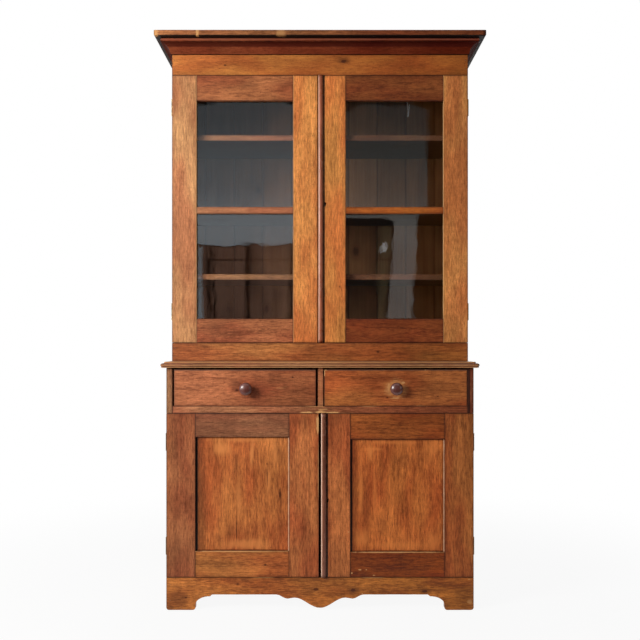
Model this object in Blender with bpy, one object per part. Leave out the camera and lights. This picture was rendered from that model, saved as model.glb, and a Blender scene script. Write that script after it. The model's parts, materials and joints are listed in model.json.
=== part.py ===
"""A step-back kitchen hutch: a glazed cupboard standing on a base with two drawers and two doors.

Metres, +Z up, front towards -Y, origin on the floor under the middle of the bounding box.
Every board is its own object. A moving piece hangs from an empty that lies on its joint's axis.
"""

import math

import bmesh
import bpy
from mathutils import Matrix

# Case
case_width = 1.123
base_depth = 0.476
step_back = 0.120
side_thickness = 0.022
face_thickness = 0.022
board_thickness = 0.022
hinge_gap = 0.001
seat_gap = 0.0003
overrun = 0.004

# Heights, stacked from the floor up
apron_height = 0.1185
sill_gap = 0.0015
lower_door_height = 0.5985
lower_head_gap = 0.001
drawer_rail_height = 0.025
drawer_floor_gap = 0.0008
drawer_height = 0.1335
drawer_head_gap = 0.0062
ledge_thickness = 0.022
base_rail_height = 0.069
upper_sill_gap = 0.001
upper_door_height = 1.0145
upper_head_gap = 0.0005
frieze_height = 0.130
cap_thickness = 0.0225

# Apron outline
foot_width = 0.1065
foot_corner = 0.010
foot_rise = 0.020
foot_curve_width = 0.053
foot_curve_rise = 0.030
foot_step_width = 0.008
arch_height = 0.0565
pendant_half_width = 0.094
pendant_shoulder = 0.0452
pendant_bottom = 0.0078
cusp_width = 0.0245
cusp_height = 0.0415
cusp_ease_width = 0.041
side_foot_width = 0.085
side_arch_height = 0.058

# Case joinery
housing_depth = 0.006
rabbet_width = 0.010
back_thickness = 0.012
back_board_width = 0.120
back_joint_width = 0.0016
back_joint_depth = 0.0025
door_stop = 0.010
shelf_setback = 0.007
shelf_low_rise = 0.253
shelf_high_rise = 0.281

# Ledge, cap and cornice
ledge_overhang = 0.0185
ledge_mould_width = 0.0125
cap_overhang = 0.058
cap_edge_round = 0.003
cornice_height = 0.0535
cornice_projection = 0.037
cornice_foot = 0.005
cornice_fascia = 0.0150
cornice_quirk = 0.0028

# Drawer frame
drawer_rail_depth = 0.060
divider_width = 0.019
divider_centre = 0.002
divider_depth = 0.030
bearer_width = 0.062
runner_width = 0.018
runner_height = 0.020
guide_height = 0.016
frame_lap = 0.003

# Drawers
drawer_left_span = (-0.5335, -0.0148)
drawer_right_span = (0.0158, 0.5376)
drawer_back_gap = 0.008
drawer_board = 0.012
drawer_bottom_board = 0.008
drawer_bottom_lift = 0.010
drawer_bottom_groove = 0.006
drawer_back_drop = 0.012
drawer_side_drop = 0.003
tail_length = 0.014
tail_wide = 0.033
tail_narrow = 0.027

# Knobs
knob_radius = 0.0235
knob_reach = 0.038
knob_collar_radius = 0.0125
knob_neck_radius = 0.0098
knob_spigot_radius = 0.008
knob_drop = 0.0035
knob_left_x = -0.2702
knob_right_x = 0.2783

# Upper doors
upper_left_edge = 0.009
upper_right_edge = 0.005
upper_hinge_stile = 0.093
upper_left_meeting_stile = 0.093
upper_right_meeting_stile = 0.1025
upper_top_rail = 0.096
upper_bottom_rail = 0.091
glazing_bar_height = 0.025
lower_pane_sight = 0.399
glazing_lip = 0.012
glazing_rebate = 0.008
glass_thickness = 0.0025
pane_gap = 0.001
glazed_tenon_set = 0.0042
glazed_tenon_thickness = 0.007

# Lower doors
lower_left_edge = 0.0042
lower_right_edge = 0.0035
lower_hinge_stile = 0.1055
lower_left_meeting_stile = 0.1088
lower_right_meeting_stile = 0.1075
lower_left_top_rail = 0.087
lower_right_top_rail = 0.095
lower_left_bottom_rail = 0.095
lower_right_bottom_rail = 0.092
panel_recess = 0.0075
panel_edge = 0.008
panel_groove = 0.010
panel_gap = 0.001
panel_field_depth = 0.004
panel_bevel_width = 0.034

# Door joinery
tenon_length = 0.055
tenon_shoulder = 0.013
bar_tenon_shoulder = 0.004

# Meeting beads
bead_depth = 0.009
upper_bead_edge = -0.0066
upper_bead_width = 0.0175
lower_bead_edge = 0.004
lower_bead_width = 0.0185

# Butt hinges
hinge_length = 0.064
knuckle_radius = 0.003
hinge_pin_radius = 0.0015
hinge_pin_play = 0.0003
hinge_pin_stand = 0.0012
hinge_leaf_width = 0.0205
hinge_leaf_thickness = 0.0012
knuckle_gap = 0.0004
upper_hinge_high_drop = 0.1165
upper_hinge_low_rise = 0.118
lower_hinge_high_drop = 0.1065
lower_hinge_low_rise = 0.110

# Locks
keyhole_radius = 0.0042
keyhole_slot_width = 0.0038
keyhole_slot_drop = 0.0115
upper_keyhole_x = 0.0203
lower_keyhole_x = 0.0285
upper_keyhole_rise = 0.529
lower_keyhole_rise = 0.284
lock_width = 0.042
lock_height = 0.056
lock_depth = 0.0065
lock_edge = 0.003
lock_under_keyhole = 0.013
bolt_length = 0.030
bolt_height = 0.011
bolt_thickness = 0.0035
bolt_stand = 0.0008
bolt_rise = 0.022
bolt_play = 0.0005
bolt_spare = 0.004

# Counts and smoothness
back_groove_faces = (-1, 1)
tail_count = 3
knuckle_count = 5
round_sides = 12
knob_sides = 28
curve_steps = 8

# Shares: ledge edge as (inset, height), knob as (radius, reach)
ledge_profile_shares = (
    (0.60, 0.0), (0.26, 0.05), (0.12, 0.16), (0.26, 0.27), (0.07, 0.34), (0.0, 0.46),
    (0.06, 0.58), (0.26, 0.69), (0.58, 0.77), (0.80, 0.77), (0.92, 0.80), (1.0, 1.0),
)
knob_profile_shares = (
    (0.56, 0.43), (0.84, 0.47), (0.97, 0.56), (1.0, 0.66), (0.95, 0.78), (0.80, 0.89),
    (0.52, 0.96), (0.24, 0.99),
)

# Levels and planes that the boards share
half_width = case_width / 2
inner_x = half_width - side_thickness
face_y = (knob_reach - base_depth) / 2
back_y = face_y + base_depth
case_y = face_y + face_thickness + hinge_gap
upper_face_y = face_y + step_back
upper_case_y = upper_face_y + face_thickness + hinge_gap
back_front_y = back_y - back_thickness
lower_door_z = apron_height + sill_gap
lower_door_top = lower_door_z + lower_door_height
drawer_rail_z = lower_door_top + lower_head_gap
drawer_rail_top = drawer_rail_z + drawer_rail_height
drawer_z = drawer_rail_top + drawer_floor_gap
drawer_top = drawer_z + drawer_height
ledge_z = drawer_top + drawer_head_gap
ledge_top = ledge_z + ledge_thickness
upper_rail_top = ledge_top + base_rail_height
upper_door_z = upper_rail_top + upper_sill_gap
upper_door_top = upper_door_z + upper_door_height
frieze_z = upper_door_top + upper_head_gap
cap_z = frieze_z + frieze_height
cap_top = cap_z + cap_thickness
runner_top = drawer_z - seat_gap
base_floor_top = apron_height + door_stop
upper_floor_top = upper_rail_top + door_stop
bar_z = upper_door_z + upper_bottom_rail + lower_pane_sight
bar_top = bar_z + glazing_bar_height
shelf_low_top = upper_floor_top + shelf_low_rise
shelf_middle_top = (bar_z + bar_top + board_thickness) / 2
shelf_high_top = shelf_middle_top + shelf_high_rise
shelf_y = upper_case_y + shelf_setback
hinge_x = half_width + knuckle_radius + seat_gap

# Finishes as (red, green, blue, roughness, metallic)
pine_golden = (0.40, 0.15, 0.05, 0.5, 0.0)
pine_light = (0.50, 0.20, 0.07, 0.5, 0.0)
pine_red = (0.24, 0.07, 0.025, 0.5, 0.0)
pine_dark = (0.11, 0.03, 0.015, 0.45, 0.0)
pine_inside = (0.20, 0.09, 0.04, 0.7, 0.0)
bead_brown = (0.14, 0.06, 0.035, 0.4, 0.0)
knob_brown = (0.09, 0.035, 0.025, 0.3, 0.0)
glass_grey = (0.35, 0.40, 0.40, 0.05, 0.0)
brass_dull = (0.35, 0.25, 0.11, 0.35, 1.0)
iron_grey = (0.18, 0.17, 0.16, 0.45, 1.0)


def solid(name, shape):
    """Turn a bmesh into an object of the scene."""
    mesh = bpy.data.meshes.new(name)
    shape.to_mesh(mesh)
    shape.free()
    piece = bpy.data.objects.new(name, mesh)
    bpy.context.scene.collection.objects.link(piece)
    return piece


def block(name, corner, opposite):
    """A rectangular board between two opposite corners."""
    low = [min(pair) for pair in zip(corner, opposite)]
    high = [max(pair) for pair in zip(corner, opposite)]
    shape = bmesh.new()
    bmesh.ops.create_cube(shape, size=1)
    bmesh.ops.scale(shape, vec=[b - a for a, b in zip(low, high)], verts=shape.verts)
    bmesh.ops.translate(shape, vec=[(a + b) / 2 for a, b in zip(low, high)], verts=shape.verts)
    return solid(name, shape)


def prism(name, outline, start, end, along):
    """An outline drawn square to one axis and extruded along it from start to end."""
    place = {
        "X": lambda point: (start, point[0], point[1]),
        "Y": lambda point: (point[0], start, point[1]),
        "Z": lambda point: (point[0], point[1], start),
    }[along]
    travel = [end - start if axis == along else 0 for axis in "XYZ"]
    shape = bmesh.new()
    face = shape.faces.new([shape.verts.new(place(point)) for point in outline])
    grown = bmesh.ops.extrude_face_region(shape, geom=[face])
    moved = [item for item in grown["geom"] if isinstance(item, bmesh.types.BMVert)]
    bmesh.ops.translate(shape, vec=travel, verts=moved)
    bmesh.ops.recalc_face_normals(shape, faces=shape.faces)
    return solid(name, shape)


def rod(name, x, y, low, high, radius):
    """A round bar that stands upright at x, y."""
    shape = bmesh.new()
    bmesh.ops.create_cone(shape, cap_ends=True, segments=round_sides,
                          radius1=radius, radius2=radius, depth=high - low)
    bmesh.ops.translate(shape, vec=(x, y, (low + high) / 2), verts=shape.verts)
    return solid(name, shape)


def combine(target, others, operation):
    """Join the other solids to the target, or cut them from it, and use them up."""
    for other in others:
        step = target.modifiers.new("joint", "BOOLEAN")
        step.operation = operation
        step.solver = "EXACT"
        step.object = other
    bpy.context.view_layer.update()
    shaped = target.evaluated_get(bpy.context.evaluated_depsgraph_get())
    plain = target.data
    target.data = bpy.data.meshes.new_from_object(shaped)
    target.data.name = target.name
    target.modifiers.clear()
    bpy.data.meshes.remove(plain)
    for other in others:
        bpy.data.objects.remove(other)
    return target


def cut(target, others):
    return combine(target, others, "DIFFERENCE")


def join(target, others):
    return combine(target, others, "UNION")


def finish(piece, look, body=None):
    """Give a piece its own material and hang it from the empty on its joint's axis."""
    surface = bpy.data.materials.new(piece.name + "_finish")
    surface.use_nodes = True
    shader = surface.node_tree.nodes["Principled BSDF"]
    shader.inputs["Base Color"].default_value = (*look[:3], 1)
    shader.inputs["Roughness"].default_value = look[3]
    shader.inputs["Metallic"].default_value = look[4]
    surface.diffuse_color = (*look[:3], 1)
    piece.data.materials.clear()
    piece.data.materials.append(surface)
    if body:
        piece.parent = body
        piece.matrix_parent_inverse = Matrix.Translation(body.matrix_world.translation).inverted()
    return piece


def joint_empty(name, place, parent=None):
    """An empty on a joint's axis, which carries the pieces that move together."""
    empty = bpy.data.objects.new(name, None)
    bpy.context.scene.collection.objects.link(empty)
    empty.location = place
    if parent:
        empty.parent = parent
        empty.matrix_parent_inverse = Matrix.Translation(parent.matrix_world.translation).inverted()
    bpy.context.view_layer.update()
    return empty


def arc(centre, reach, start, stop):
    """Points of an ellipse round a centre, between two angles in degrees."""
    points = []
    for step in range(curve_steps + 1):
        angle = math.radians(start + (stop - start) * step / curve_steps)
        points.append((centre[0] + reach[0] * math.cos(angle), centre[1] + reach[1] * math.sin(angle)))
    return points


def mirrored(points):
    """The same points on the other side of zero, in the order that closes an outline."""
    return [(-x, z) for x, z in reversed(points)]


def boarded_back(name, low, high):
    """Upright back boards edge to edge, with a fine open joint between each two."""
    half_span = inner_x + rabbet_width - seat_gap
    back = block(name, (-half_span, back_front_y, low), (half_span, back_y, high))
    count = int(half_span / back_board_width)
    grooves = []
    for number in range(-count, count + 1):
        x = number * back_board_width
        for facing in back_groove_faces:
            middle = (back_front_y + back_y) / 2
            outside = middle + facing * (back_thickness / 2 + overrun)
            inside = middle + facing * (back_thickness / 2 - back_joint_depth)
            grooves.append(block("joint", (x - back_joint_width / 2, outside, low - overrun),
                                 (x + back_joint_width / 2, inside, high + overrun)))
    return finish(cut(back, grooves), pine_inside)


def back_rabbet(hand, low, high):
    """The step in a side board's rear edge that the back boards are nailed into."""
    return block("rabbet", (hand * (inner_x - overrun), back_front_y - seat_gap, low),
                 (hand * (inner_x + rabbet_width), back_y + overrun, high))


def housing(hand, top, front):
    """The groove across a side board that holds the end of a shelf."""
    return block("housing", (hand * (inner_x - overrun), front, top - board_thickness - seat_gap),
                 (hand * (inner_x + housing_depth), back_y + overrun, top + seat_gap))


def housed_board(name, top, front):
    """A shelf or floor whose ends sit in the housings of both sides."""
    half_span = inner_x + housing_depth - seat_gap
    return finish(block(name, (-half_span, front, top - board_thickness),
                        (half_span, back_front_y - seat_gap, top)), pine_inside)


def leaf_recess(hand, front, middle):
    """The shallow bed in a side board's front edge that takes a hinge's fixed leaf."""
    inner = hinge_x - hinge_leaf_width - seat_gap
    depth = hinge_leaf_thickness + seat_gap + seat_gap / 2 - hinge_gap / 2
    half_length = hinge_length / 2 + seat_gap
    return block("leaf_bed", (hand * inner, front - overrun, middle - half_length),
                 (hand * (half_width + overrun), front + depth, middle + half_length))


def apron_outline():
    """The scrolled lower edge from the middle to the right foot, then the left half mirrored."""
    foot_inner = half_width - foot_width
    curve_x = foot_inner - foot_curve_width
    curve_top = foot_rise + foot_curve_rise
    cusp_x = pendant_half_width + cusp_width
    right = []
    for step in range(1, curve_steps + 1):
        share = step / curve_steps
        rise = (1 - math.cos(math.pi * share)) / 2
        right.append((pendant_half_width * share,
                      pendant_bottom + (pendant_shoulder - pendant_bottom) * rise))
    right.append((cusp_x, cusp_height))
    for step in range(1, curve_steps // 2 + 1):
        share = step / (curve_steps // 2)
        rise = (1 - math.cos(math.pi * share)) / 2
        right.append((cusp_x + cusp_ease_width * share, cusp_height + (arch_height - cusp_height) * rise))
    right.append((curve_x - foot_step_width, arch_height))
    right += [point for point in reversed(arc((curve_x, foot_rise), (foot_curve_width, foot_curve_rise), 0, 90))]
    right += arc((foot_inner + foot_corner, foot_corner), (foot_corner, foot_corner), 180, 270)
    right += arc((half_width - foot_corner, foot_corner), (foot_corner, foot_corner), 270, 360)
    right.append((half_width, apron_height))
    return [(0, pendant_bottom)] + right + mirrored(right)


def build_base_case():
    """Sides, floor, back, scrolled apron, drawer frame and the moulded ledge."""
    runner_front = face_y + drawer_rail_depth + seat_gap
    runner_back = back_front_y - seat_gap
    arch_front = case_y + side_foot_width
    arch_back = back_y - side_foot_width
    arch_middle = (arch_front + arch_back) / 2
    arch_reach = ((arch_back - arch_front) / 2, side_arch_height + overrun)
    for hand, side in ((-1, "left"), (1, "right")):
        board = block("base_side_" + side, (hand * half_width, face_y, 0),
                      (hand * inner_x, back_y, ledge_z - seat_gap))
        runner = block("runner", (hand * (inner_x + frame_lap), runner_front, runner_top - runner_height),
                       (hand * (inner_x - runner_width), runner_back, runner_top))
        arch = prism("arch", arc((arch_middle, -overrun), arch_reach, 0, 180),
                     inner_x - overrun, half_width + overrun, "X")
        arch.data.transform(Matrix.Diagonal((hand, 1, 1, 1)))
        if hand < 0:
            arch.data.flip_normals()
        hinges = [lower_door_z + lower_hinge_low_rise, lower_door_top - lower_hinge_high_drop]
        cuts = [
            block("notch", (hand * (inner_x - overrun), face_y - overrun, -overrun),
                  (hand * (half_width + overrun), case_y, drawer_rail_z)),
            back_rabbet(hand, base_floor_top - board_thickness - seat_gap, ledge_z + overrun),
            housing(hand, base_floor_top, case_y - overrun),
            arch,
        ] + [leaf_recess(hand, case_y, middle) for middle in hinges]
        finish(join(cut(board, cuts), [runner]), pine_light)

    housed_board("base_floor", base_floor_top, case_y)
    boarded_back("base_back", base_floor_top - board_thickness, ledge_z - seat_gap)
    finish(prism("apron", apron_outline(), face_y, case_y - seat_gap, "Y"), pine_golden)

    rail_x = inner_x - seat_gap
    divider_left = divider_centre - divider_width / 2
    divider_right = divider_centre + divider_width / 2
    frame = block("drawer_frame", (-rail_x, face_y, drawer_rail_z),
                  (rail_x, face_y + drawer_rail_depth, drawer_rail_top))
    join(frame, [
        block("divider", (divider_left, face_y, drawer_rail_top - frame_lap),
              (divider_right, face_y + divider_depth, ledge_z - seat_gap)),
        block("bearer", (-bearer_width / 2, face_y + drawer_rail_depth - frame_lap,
                         runner_top - runner_height),
              (bearer_width / 2, runner_back, runner_top)),
        block("guide", (divider_left, face_y + divider_depth - frame_lap, drawer_rail_top - frame_lap),
              (divider_right, runner_back, runner_top + guide_height)),
    ])
    finish(frame, pine_light)

    profile = [(inset * ledge_mould_width, ledge_z + height * ledge_thickness)
               for inset, height in ledge_profile_shares]
    finish(moulded_slab("ledge", profile, ledge_overhang, face_y), pine_golden)


def moulded_slab(name, profile, overhang, front):
    """A board whose front and end edges carry a profile of (inset, height), mitred at the corners."""
    shape = bmesh.new()
    rings = []
    for inset, z in profile:
        x = half_width + overhang - inset
        y = front - overhang + inset
        corners = ((-x, back_y), (-x, y), (x, y), (x, back_y))
        rings.append([shape.verts.new((*corner, z)) for corner in corners])
    for lower, upper in zip(rings, rings[1:]):
        for number in range(len(lower)):
            after = (number + 1) % len(lower)
            shape.faces.new((lower[number], lower[after], upper[after], upper[number]))
    shape.faces.new(reversed(rings[0]))
    shape.faces.new(rings[-1])
    bmesh.ops.recalc_face_normals(shape, faces=shape.faces)
    return solid(name, shape)


def cornice_moulding():
    """The cove moulding, mitred round the frieze and back along both sides under the cap."""
    low = cap_z - cornice_height
    high = cap_z - seat_gap
    fascia_z = high - cornice_fascia
    reach = (cornice_projection - cornice_quirk - cornice_foot, fascia_z - low)
    cove = arc((cornice_projection - cornice_quirk, low), reach, 180, 90)
    profile = [(seat_gap, low)] + cove
    profile += [(cornice_projection, fascia_z), (cornice_projection, high), (seat_gap, high)]
    shape = bmesh.new()
    stations = []
    for out, z in profile:
        x = half_width + out
        y = upper_face_y - out
        corners = ((-x, back_y), (-x, y), (x, y), (x, back_y))
        stations.append([shape.verts.new((*corner, z)) for corner in corners])
    for number in range(len(stations)):
        here = stations[number]
        there = stations[(number + 1) % len(stations)]
        for run in range(len(here) - 1):
            shape.faces.new((here[run], here[run + 1], there[run + 1], there[run]))
    shape.faces.new([station[0] for station in stations])
    shape.faces.new([station[-1] for station in stations])
    bmesh.ops.recalc_face_normals(shape, faces=shape.faces)
    return finish(solid("cornice_moulding", shape), pine_dark)


def build_upper_case():
    """Sides, floor, three shelves, back, face boards, cap and cornice."""
    shelf_tops = (("upper_shelf_low", shelf_low_top), ("upper_shelf_middle", shelf_middle_top),
                  ("upper_shelf_high", shelf_high_top))
    hinges = [upper_door_z + upper_hinge_low_rise, upper_door_top - upper_hinge_high_drop]
    for hand, side in ((-1, "left"), (1, "right")):
        board = block("upper_side_" + side, (hand * half_width, upper_case_y, ledge_top + seat_gap),
                      (hand * inner_x, back_y, cap_z - seat_gap))
        cuts = [back_rabbet(hand, ledge_top - overrun, cap_z + overrun),
                housing(hand, upper_floor_top, upper_case_y - overrun)]
        cuts += [housing(hand, top, shelf_y - seat_gap) for name, top in shelf_tops]
        cuts += [leaf_recess(hand, upper_case_y, middle) for middle in hinges]
        finish(cut(board, cuts), pine_light)

    housed_board("upper_floor", upper_floor_top, upper_case_y)
    for name, top in shelf_tops:
        housed_board(name, top, shelf_y)
    boarded_back("upper_back", ledge_top + seat_gap, cap_z - seat_gap)

    face_back = upper_case_y - seat_gap
    finish(block("upper_base_rail", (-half_width, upper_face_y, ledge_top + seat_gap),
                 (half_width, face_back, upper_rail_top)), pine_golden)
    finish(block("frieze", (-half_width, upper_face_y, frieze_z),
                 (half_width, face_back, cap_z - seat_gap)), pine_golden)
    cornice_moulding()
    cap_profile = [(cap_edge_round, cap_z), (0, cap_z + cap_edge_round),
                   (0, cap_top - cap_edge_round), (cap_edge_round, cap_top)]
    finish(moulded_slab("upper_top", cap_profile, cap_overhang, upper_face_y), pine_golden)


def hinge_spans(middle):
    """Lower and upper end of each knuckle, from the bottom up."""
    pitch = hinge_length / knuckle_count
    bottom = middle - hinge_length / 2
    return [(bottom + number * pitch + knuckle_gap / 2, bottom + (number + 1) * pitch - knuckle_gap / 2)
            for number in range(knuckle_count)]


def fixed_hinge(name, hand, case_front, middle):
    """The leaf let into the case, its knuckles and the pin that is riveted through them."""
    x = hand * hinge_x
    y = case_front - hinge_gap / 2
    near = y + seat_gap / 2
    far = near + hinge_leaf_thickness
    low = middle - hinge_length / 2
    high = middle + hinge_length / 2
    leaf = block(name, (hand * half_width, near, low), (hand * (hinge_x - hinge_leaf_width), far, high))
    others = [rod("pin", x, y, low - hinge_pin_stand, high + hinge_pin_stand, hinge_pin_radius)]
    for bottom, top in hinge_spans(middle)[::2]:
        others.append(rod("knuckle", x, y, bottom, top, knuckle_radius))
        others.append(block("neck", (x, near, bottom), (hand * (half_width - overrun), far, top)))
    return finish(join(leaf, others), brass_dull)


def moving_hinge(hand, case_front, middle):
    """The door's leaf and its knuckles, bored for the pin, as loose solids to join to a stile."""
    x = hand * hinge_x
    y = case_front - hinge_gap / 2
    near = y - seat_gap / 2
    far = near - hinge_leaf_thickness
    low = middle - hinge_length / 2
    high = middle + hinge_length / 2
    leaf = block("leaf", (hand * half_width, near, low), (hand * (hinge_x - hinge_leaf_width), far, high))
    parts = []
    for bottom, top in hinge_spans(middle)[1::2]:
        parts.append(rod("knuckle", x, y, bottom, top, knuckle_radius))
        parts.append(block("neck", (x, near, bottom), (hand * (half_width - overrun), far, top)))
    bore = rod("bore", x, y, low - overrun, high + overrun, hinge_pin_radius + hinge_pin_play)
    return cut(join(leaf, parts), [bore])


def tenon_span(bottom, top, shoulder):
    return bottom + shoulder, top - shoulder


def tenoned_rail(name, left, right, bottom, top, face, tenon_set, tenon_thickness, shoulder):
    """A cross rail with a tenon on each end, which goes into the stiles."""
    rail = block(name, (left + seat_gap, face, bottom), (right - seat_gap, face + face_thickness, top))
    low, high = tenon_span(bottom, top, shoulder)
    tenon = block("tenon", (left - tenon_length, face + tenon_set, low),
                  (right + tenon_length, face + tenon_set + tenon_thickness, high))
    return join(rail, [tenon])


def mortise(edge, inward, bottom, top, face, tenon_set, tenon_thickness, shoulder):
    """The pocket in a stile's inner edge for one tenon; inward is -1 or 1 along X."""
    low, high = tenon_span(bottom, top, shoulder)
    return block("mortise", (edge - inward * overrun, face + tenon_set - seat_gap, low - seat_gap),
                 (edge + inward * (tenon_length + seat_gap),
                  face + tenon_set + tenon_thickness + seat_gap, high + seat_gap))


def bead(name, edge, width, bottom, top, face, body):
    """The half-round strip nailed over the joint between the two doors."""
    centre = (edge + width / 2, face - seat_gap)
    outline = arc(centre, (width / 2, -bead_depth), 0, 180)
    finish(prism(name, outline, bottom, top, "Z"), bead_brown, body)


def keyhole(x, z, front, depth):
    """A round hole with a slot below it, as one closed cutter."""
    outline = arc((x, z), (keyhole_radius, keyhole_radius), -60, 240)
    slot = keyhole_slot_width / 2
    outline += [(x - slot, z - keyhole_slot_drop), (x + slot, z - keyhole_slot_drop)]
    return prism("keyhole", outline, front - overrun, front + depth, "Y")


def fit_lock(prefix, stile, door_edge, keyhole_x, keyhole_z, face, door_body):
    """A thin lock on the back of a right-hand stile, its keyhole, and the bolt that slides in it."""
    back = face + face_thickness
    low = keyhole_z - lock_under_keyhole - seat_gap
    left = door_edge + lock_edge
    case = block("lock_case", (left, back - frame_lap, low),
                 (left + lock_width, back + lock_depth, low + lock_height))
    join(stile, [case])
    bolt_z = keyhole_z + bolt_rise
    bolt_front = back + bolt_stand
    channel = block("channel", (left - overrun, bolt_front - bolt_play / 2,
                                bolt_z - bolt_height / 2 - bolt_play),
                    (left + bolt_length + bolt_spare, bolt_front + bolt_thickness + bolt_play,
                     bolt_z + bolt_height / 2 + bolt_play))
    cut(stile, [channel, keyhole(keyhole_x, keyhole_z, face, face_thickness + lock_depth / 2)])
    body = joint_empty(prefix + "_lock_bolt_axis", (left, bolt_front, bolt_z), door_body)
    bolt = block(prefix + "_lock_bolt", (left, bolt_front, bolt_z - bolt_height / 2),
                 (left + bolt_length, bolt_front + bolt_thickness, bolt_z + bolt_height / 2))
    finish(bolt, iron_grey, body)


def build_upper_doors():
    """Two glazed doors, each with two stiles, two rails, a glazing bar and two panes."""
    face = upper_face_y
    back = face + face_thickness
    glass_front = face + glazing_lip
    rails = (
        ("bottom_rail", upper_door_z, upper_door_z + upper_bottom_rail, tenon_shoulder),
        ("glazing_bar", bar_z, bar_top, bar_tenon_shoulder),
        ("top_rail", upper_door_top - upper_top_rail, upper_door_top, tenon_shoulder),
    )
    panes = (("pane_lower", rails[0][2], bar_z), ("pane_upper", bar_top, rails[2][1]))
    hinges = (upper_door_z + upper_hinge_low_rise, upper_door_top - upper_hinge_high_drop)
    doors = ((-1, "left", -upper_left_edge, upper_left_meeting_stile),
             (1, "right", -upper_right_edge, upper_right_meeting_stile))
    for hand, side, meet, meeting_width in doors:
        prefix = "upper_" + side + "_door_"
        body = joint_empty("upper_" + side + "_door_axis",
                           (hand * hinge_x, upper_case_y - hinge_gap / 2, upper_door_z))
        outer = hand * half_width
        inner_hinge = outer - hand * upper_hinge_stile
        inner_meet = meet + hand * meeting_width
        left, right = sorted((inner_hinge, inner_meet))

        for name, bottom, top, shoulder in rails:
            rail = tenoned_rail(prefix + name, left, right, bottom, top, face,
                                glazed_tenon_set, glazed_tenon_thickness, shoulder)
            rebates = []
            if name != "bottom_rail":
                rebates.append((bottom - overrun, bottom + glazing_rebate))
            if name != "top_rail":
                rebates.append((top - glazing_rebate, top + overrun))
            cut(rail, [block("rebate", (left - overrun, glass_front, low),
                             (right + overrun, back + overrun, high)) for low, high in rebates])
            finish(rail, pine_red, body)

        stiles = (("hinge_stile", outer, inner_hinge, hand), ("meeting_stile", meet, inner_meet, -hand))
        for name, edge, inner, inward in stiles:
            stile = block(prefix + name, (edge, face, upper_door_z), (inner, back, upper_door_top))
            cuts = [mortise(inner, inward, bottom, top, face, glazed_tenon_set,
                            glazed_tenon_thickness, shoulder) for rail_name, bottom, top, shoulder in rails]
            for pane_name, bottom, top in panes:
                cuts.append(block("rebate", (inner - inward * overrun, glass_front, bottom - glazing_rebate),
                                  (inner + inward * glazing_rebate, back + overrun, top + glazing_rebate)))
            cut(stile, cuts)
            if name == "hinge_stile":
                join(stile, [moving_hinge(hand, upper_case_y, middle) for middle in hinges])
            elif side == "right":
                fit_lock("upper", stile, meet, upper_keyhole_x,
                         upper_door_z + upper_keyhole_rise, face, body)
            finish(stile, pine_light, body)

        for name, bottom, top in panes:
            reach = glazing_rebate - pane_gap
            finish(block(prefix + name, (left - reach, glass_front + seat_gap, bottom - reach),
                         (right + reach, glass_front + seat_gap + glass_thickness, top + reach)),
                   glass_grey, body)
        if side == "right":
            bead(prefix + "bead", upper_bead_edge, upper_bead_width, upper_door_z, upper_door_top, face, body)
        for level, middle in zip(("low", "high"), hinges):
            fixed_hinge("upper_" + side + "_hinge_" + level, hand, upper_case_y, middle)


def lower_panel(name, left, right, bottom, top, face, body):
    """A flat panel, bevelled on its back, whose edges sit in the grooves of the frame."""
    reach = panel_groove - panel_gap
    front = face + panel_recess
    shape = bmesh.new()
    bmesh.ops.create_cube(shape, size=1)
    size = (right - left + 2 * reach, panel_edge, top - bottom + 2 * reach)
    bmesh.ops.scale(shape, vec=size, verts=shape.verts)
    middle = ((left + right) / 2, front + panel_edge / 2, (bottom + top) / 2)
    bmesh.ops.translate(shape, vec=middle, verts=shape.verts)
    rear = [side for side in shape.faces if side.normal.y > 0.5]
    for width in (panel_groove, panel_bevel_width):
        bmesh.ops.inset_region(shape, faces=rear, thickness=width, use_even_offset=True)
    bmesh.ops.translate(shape, vec=(0, panel_field_depth, 0), verts=rear[0].verts)
    finish(solid(name, shape), pine_golden, body)


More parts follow.
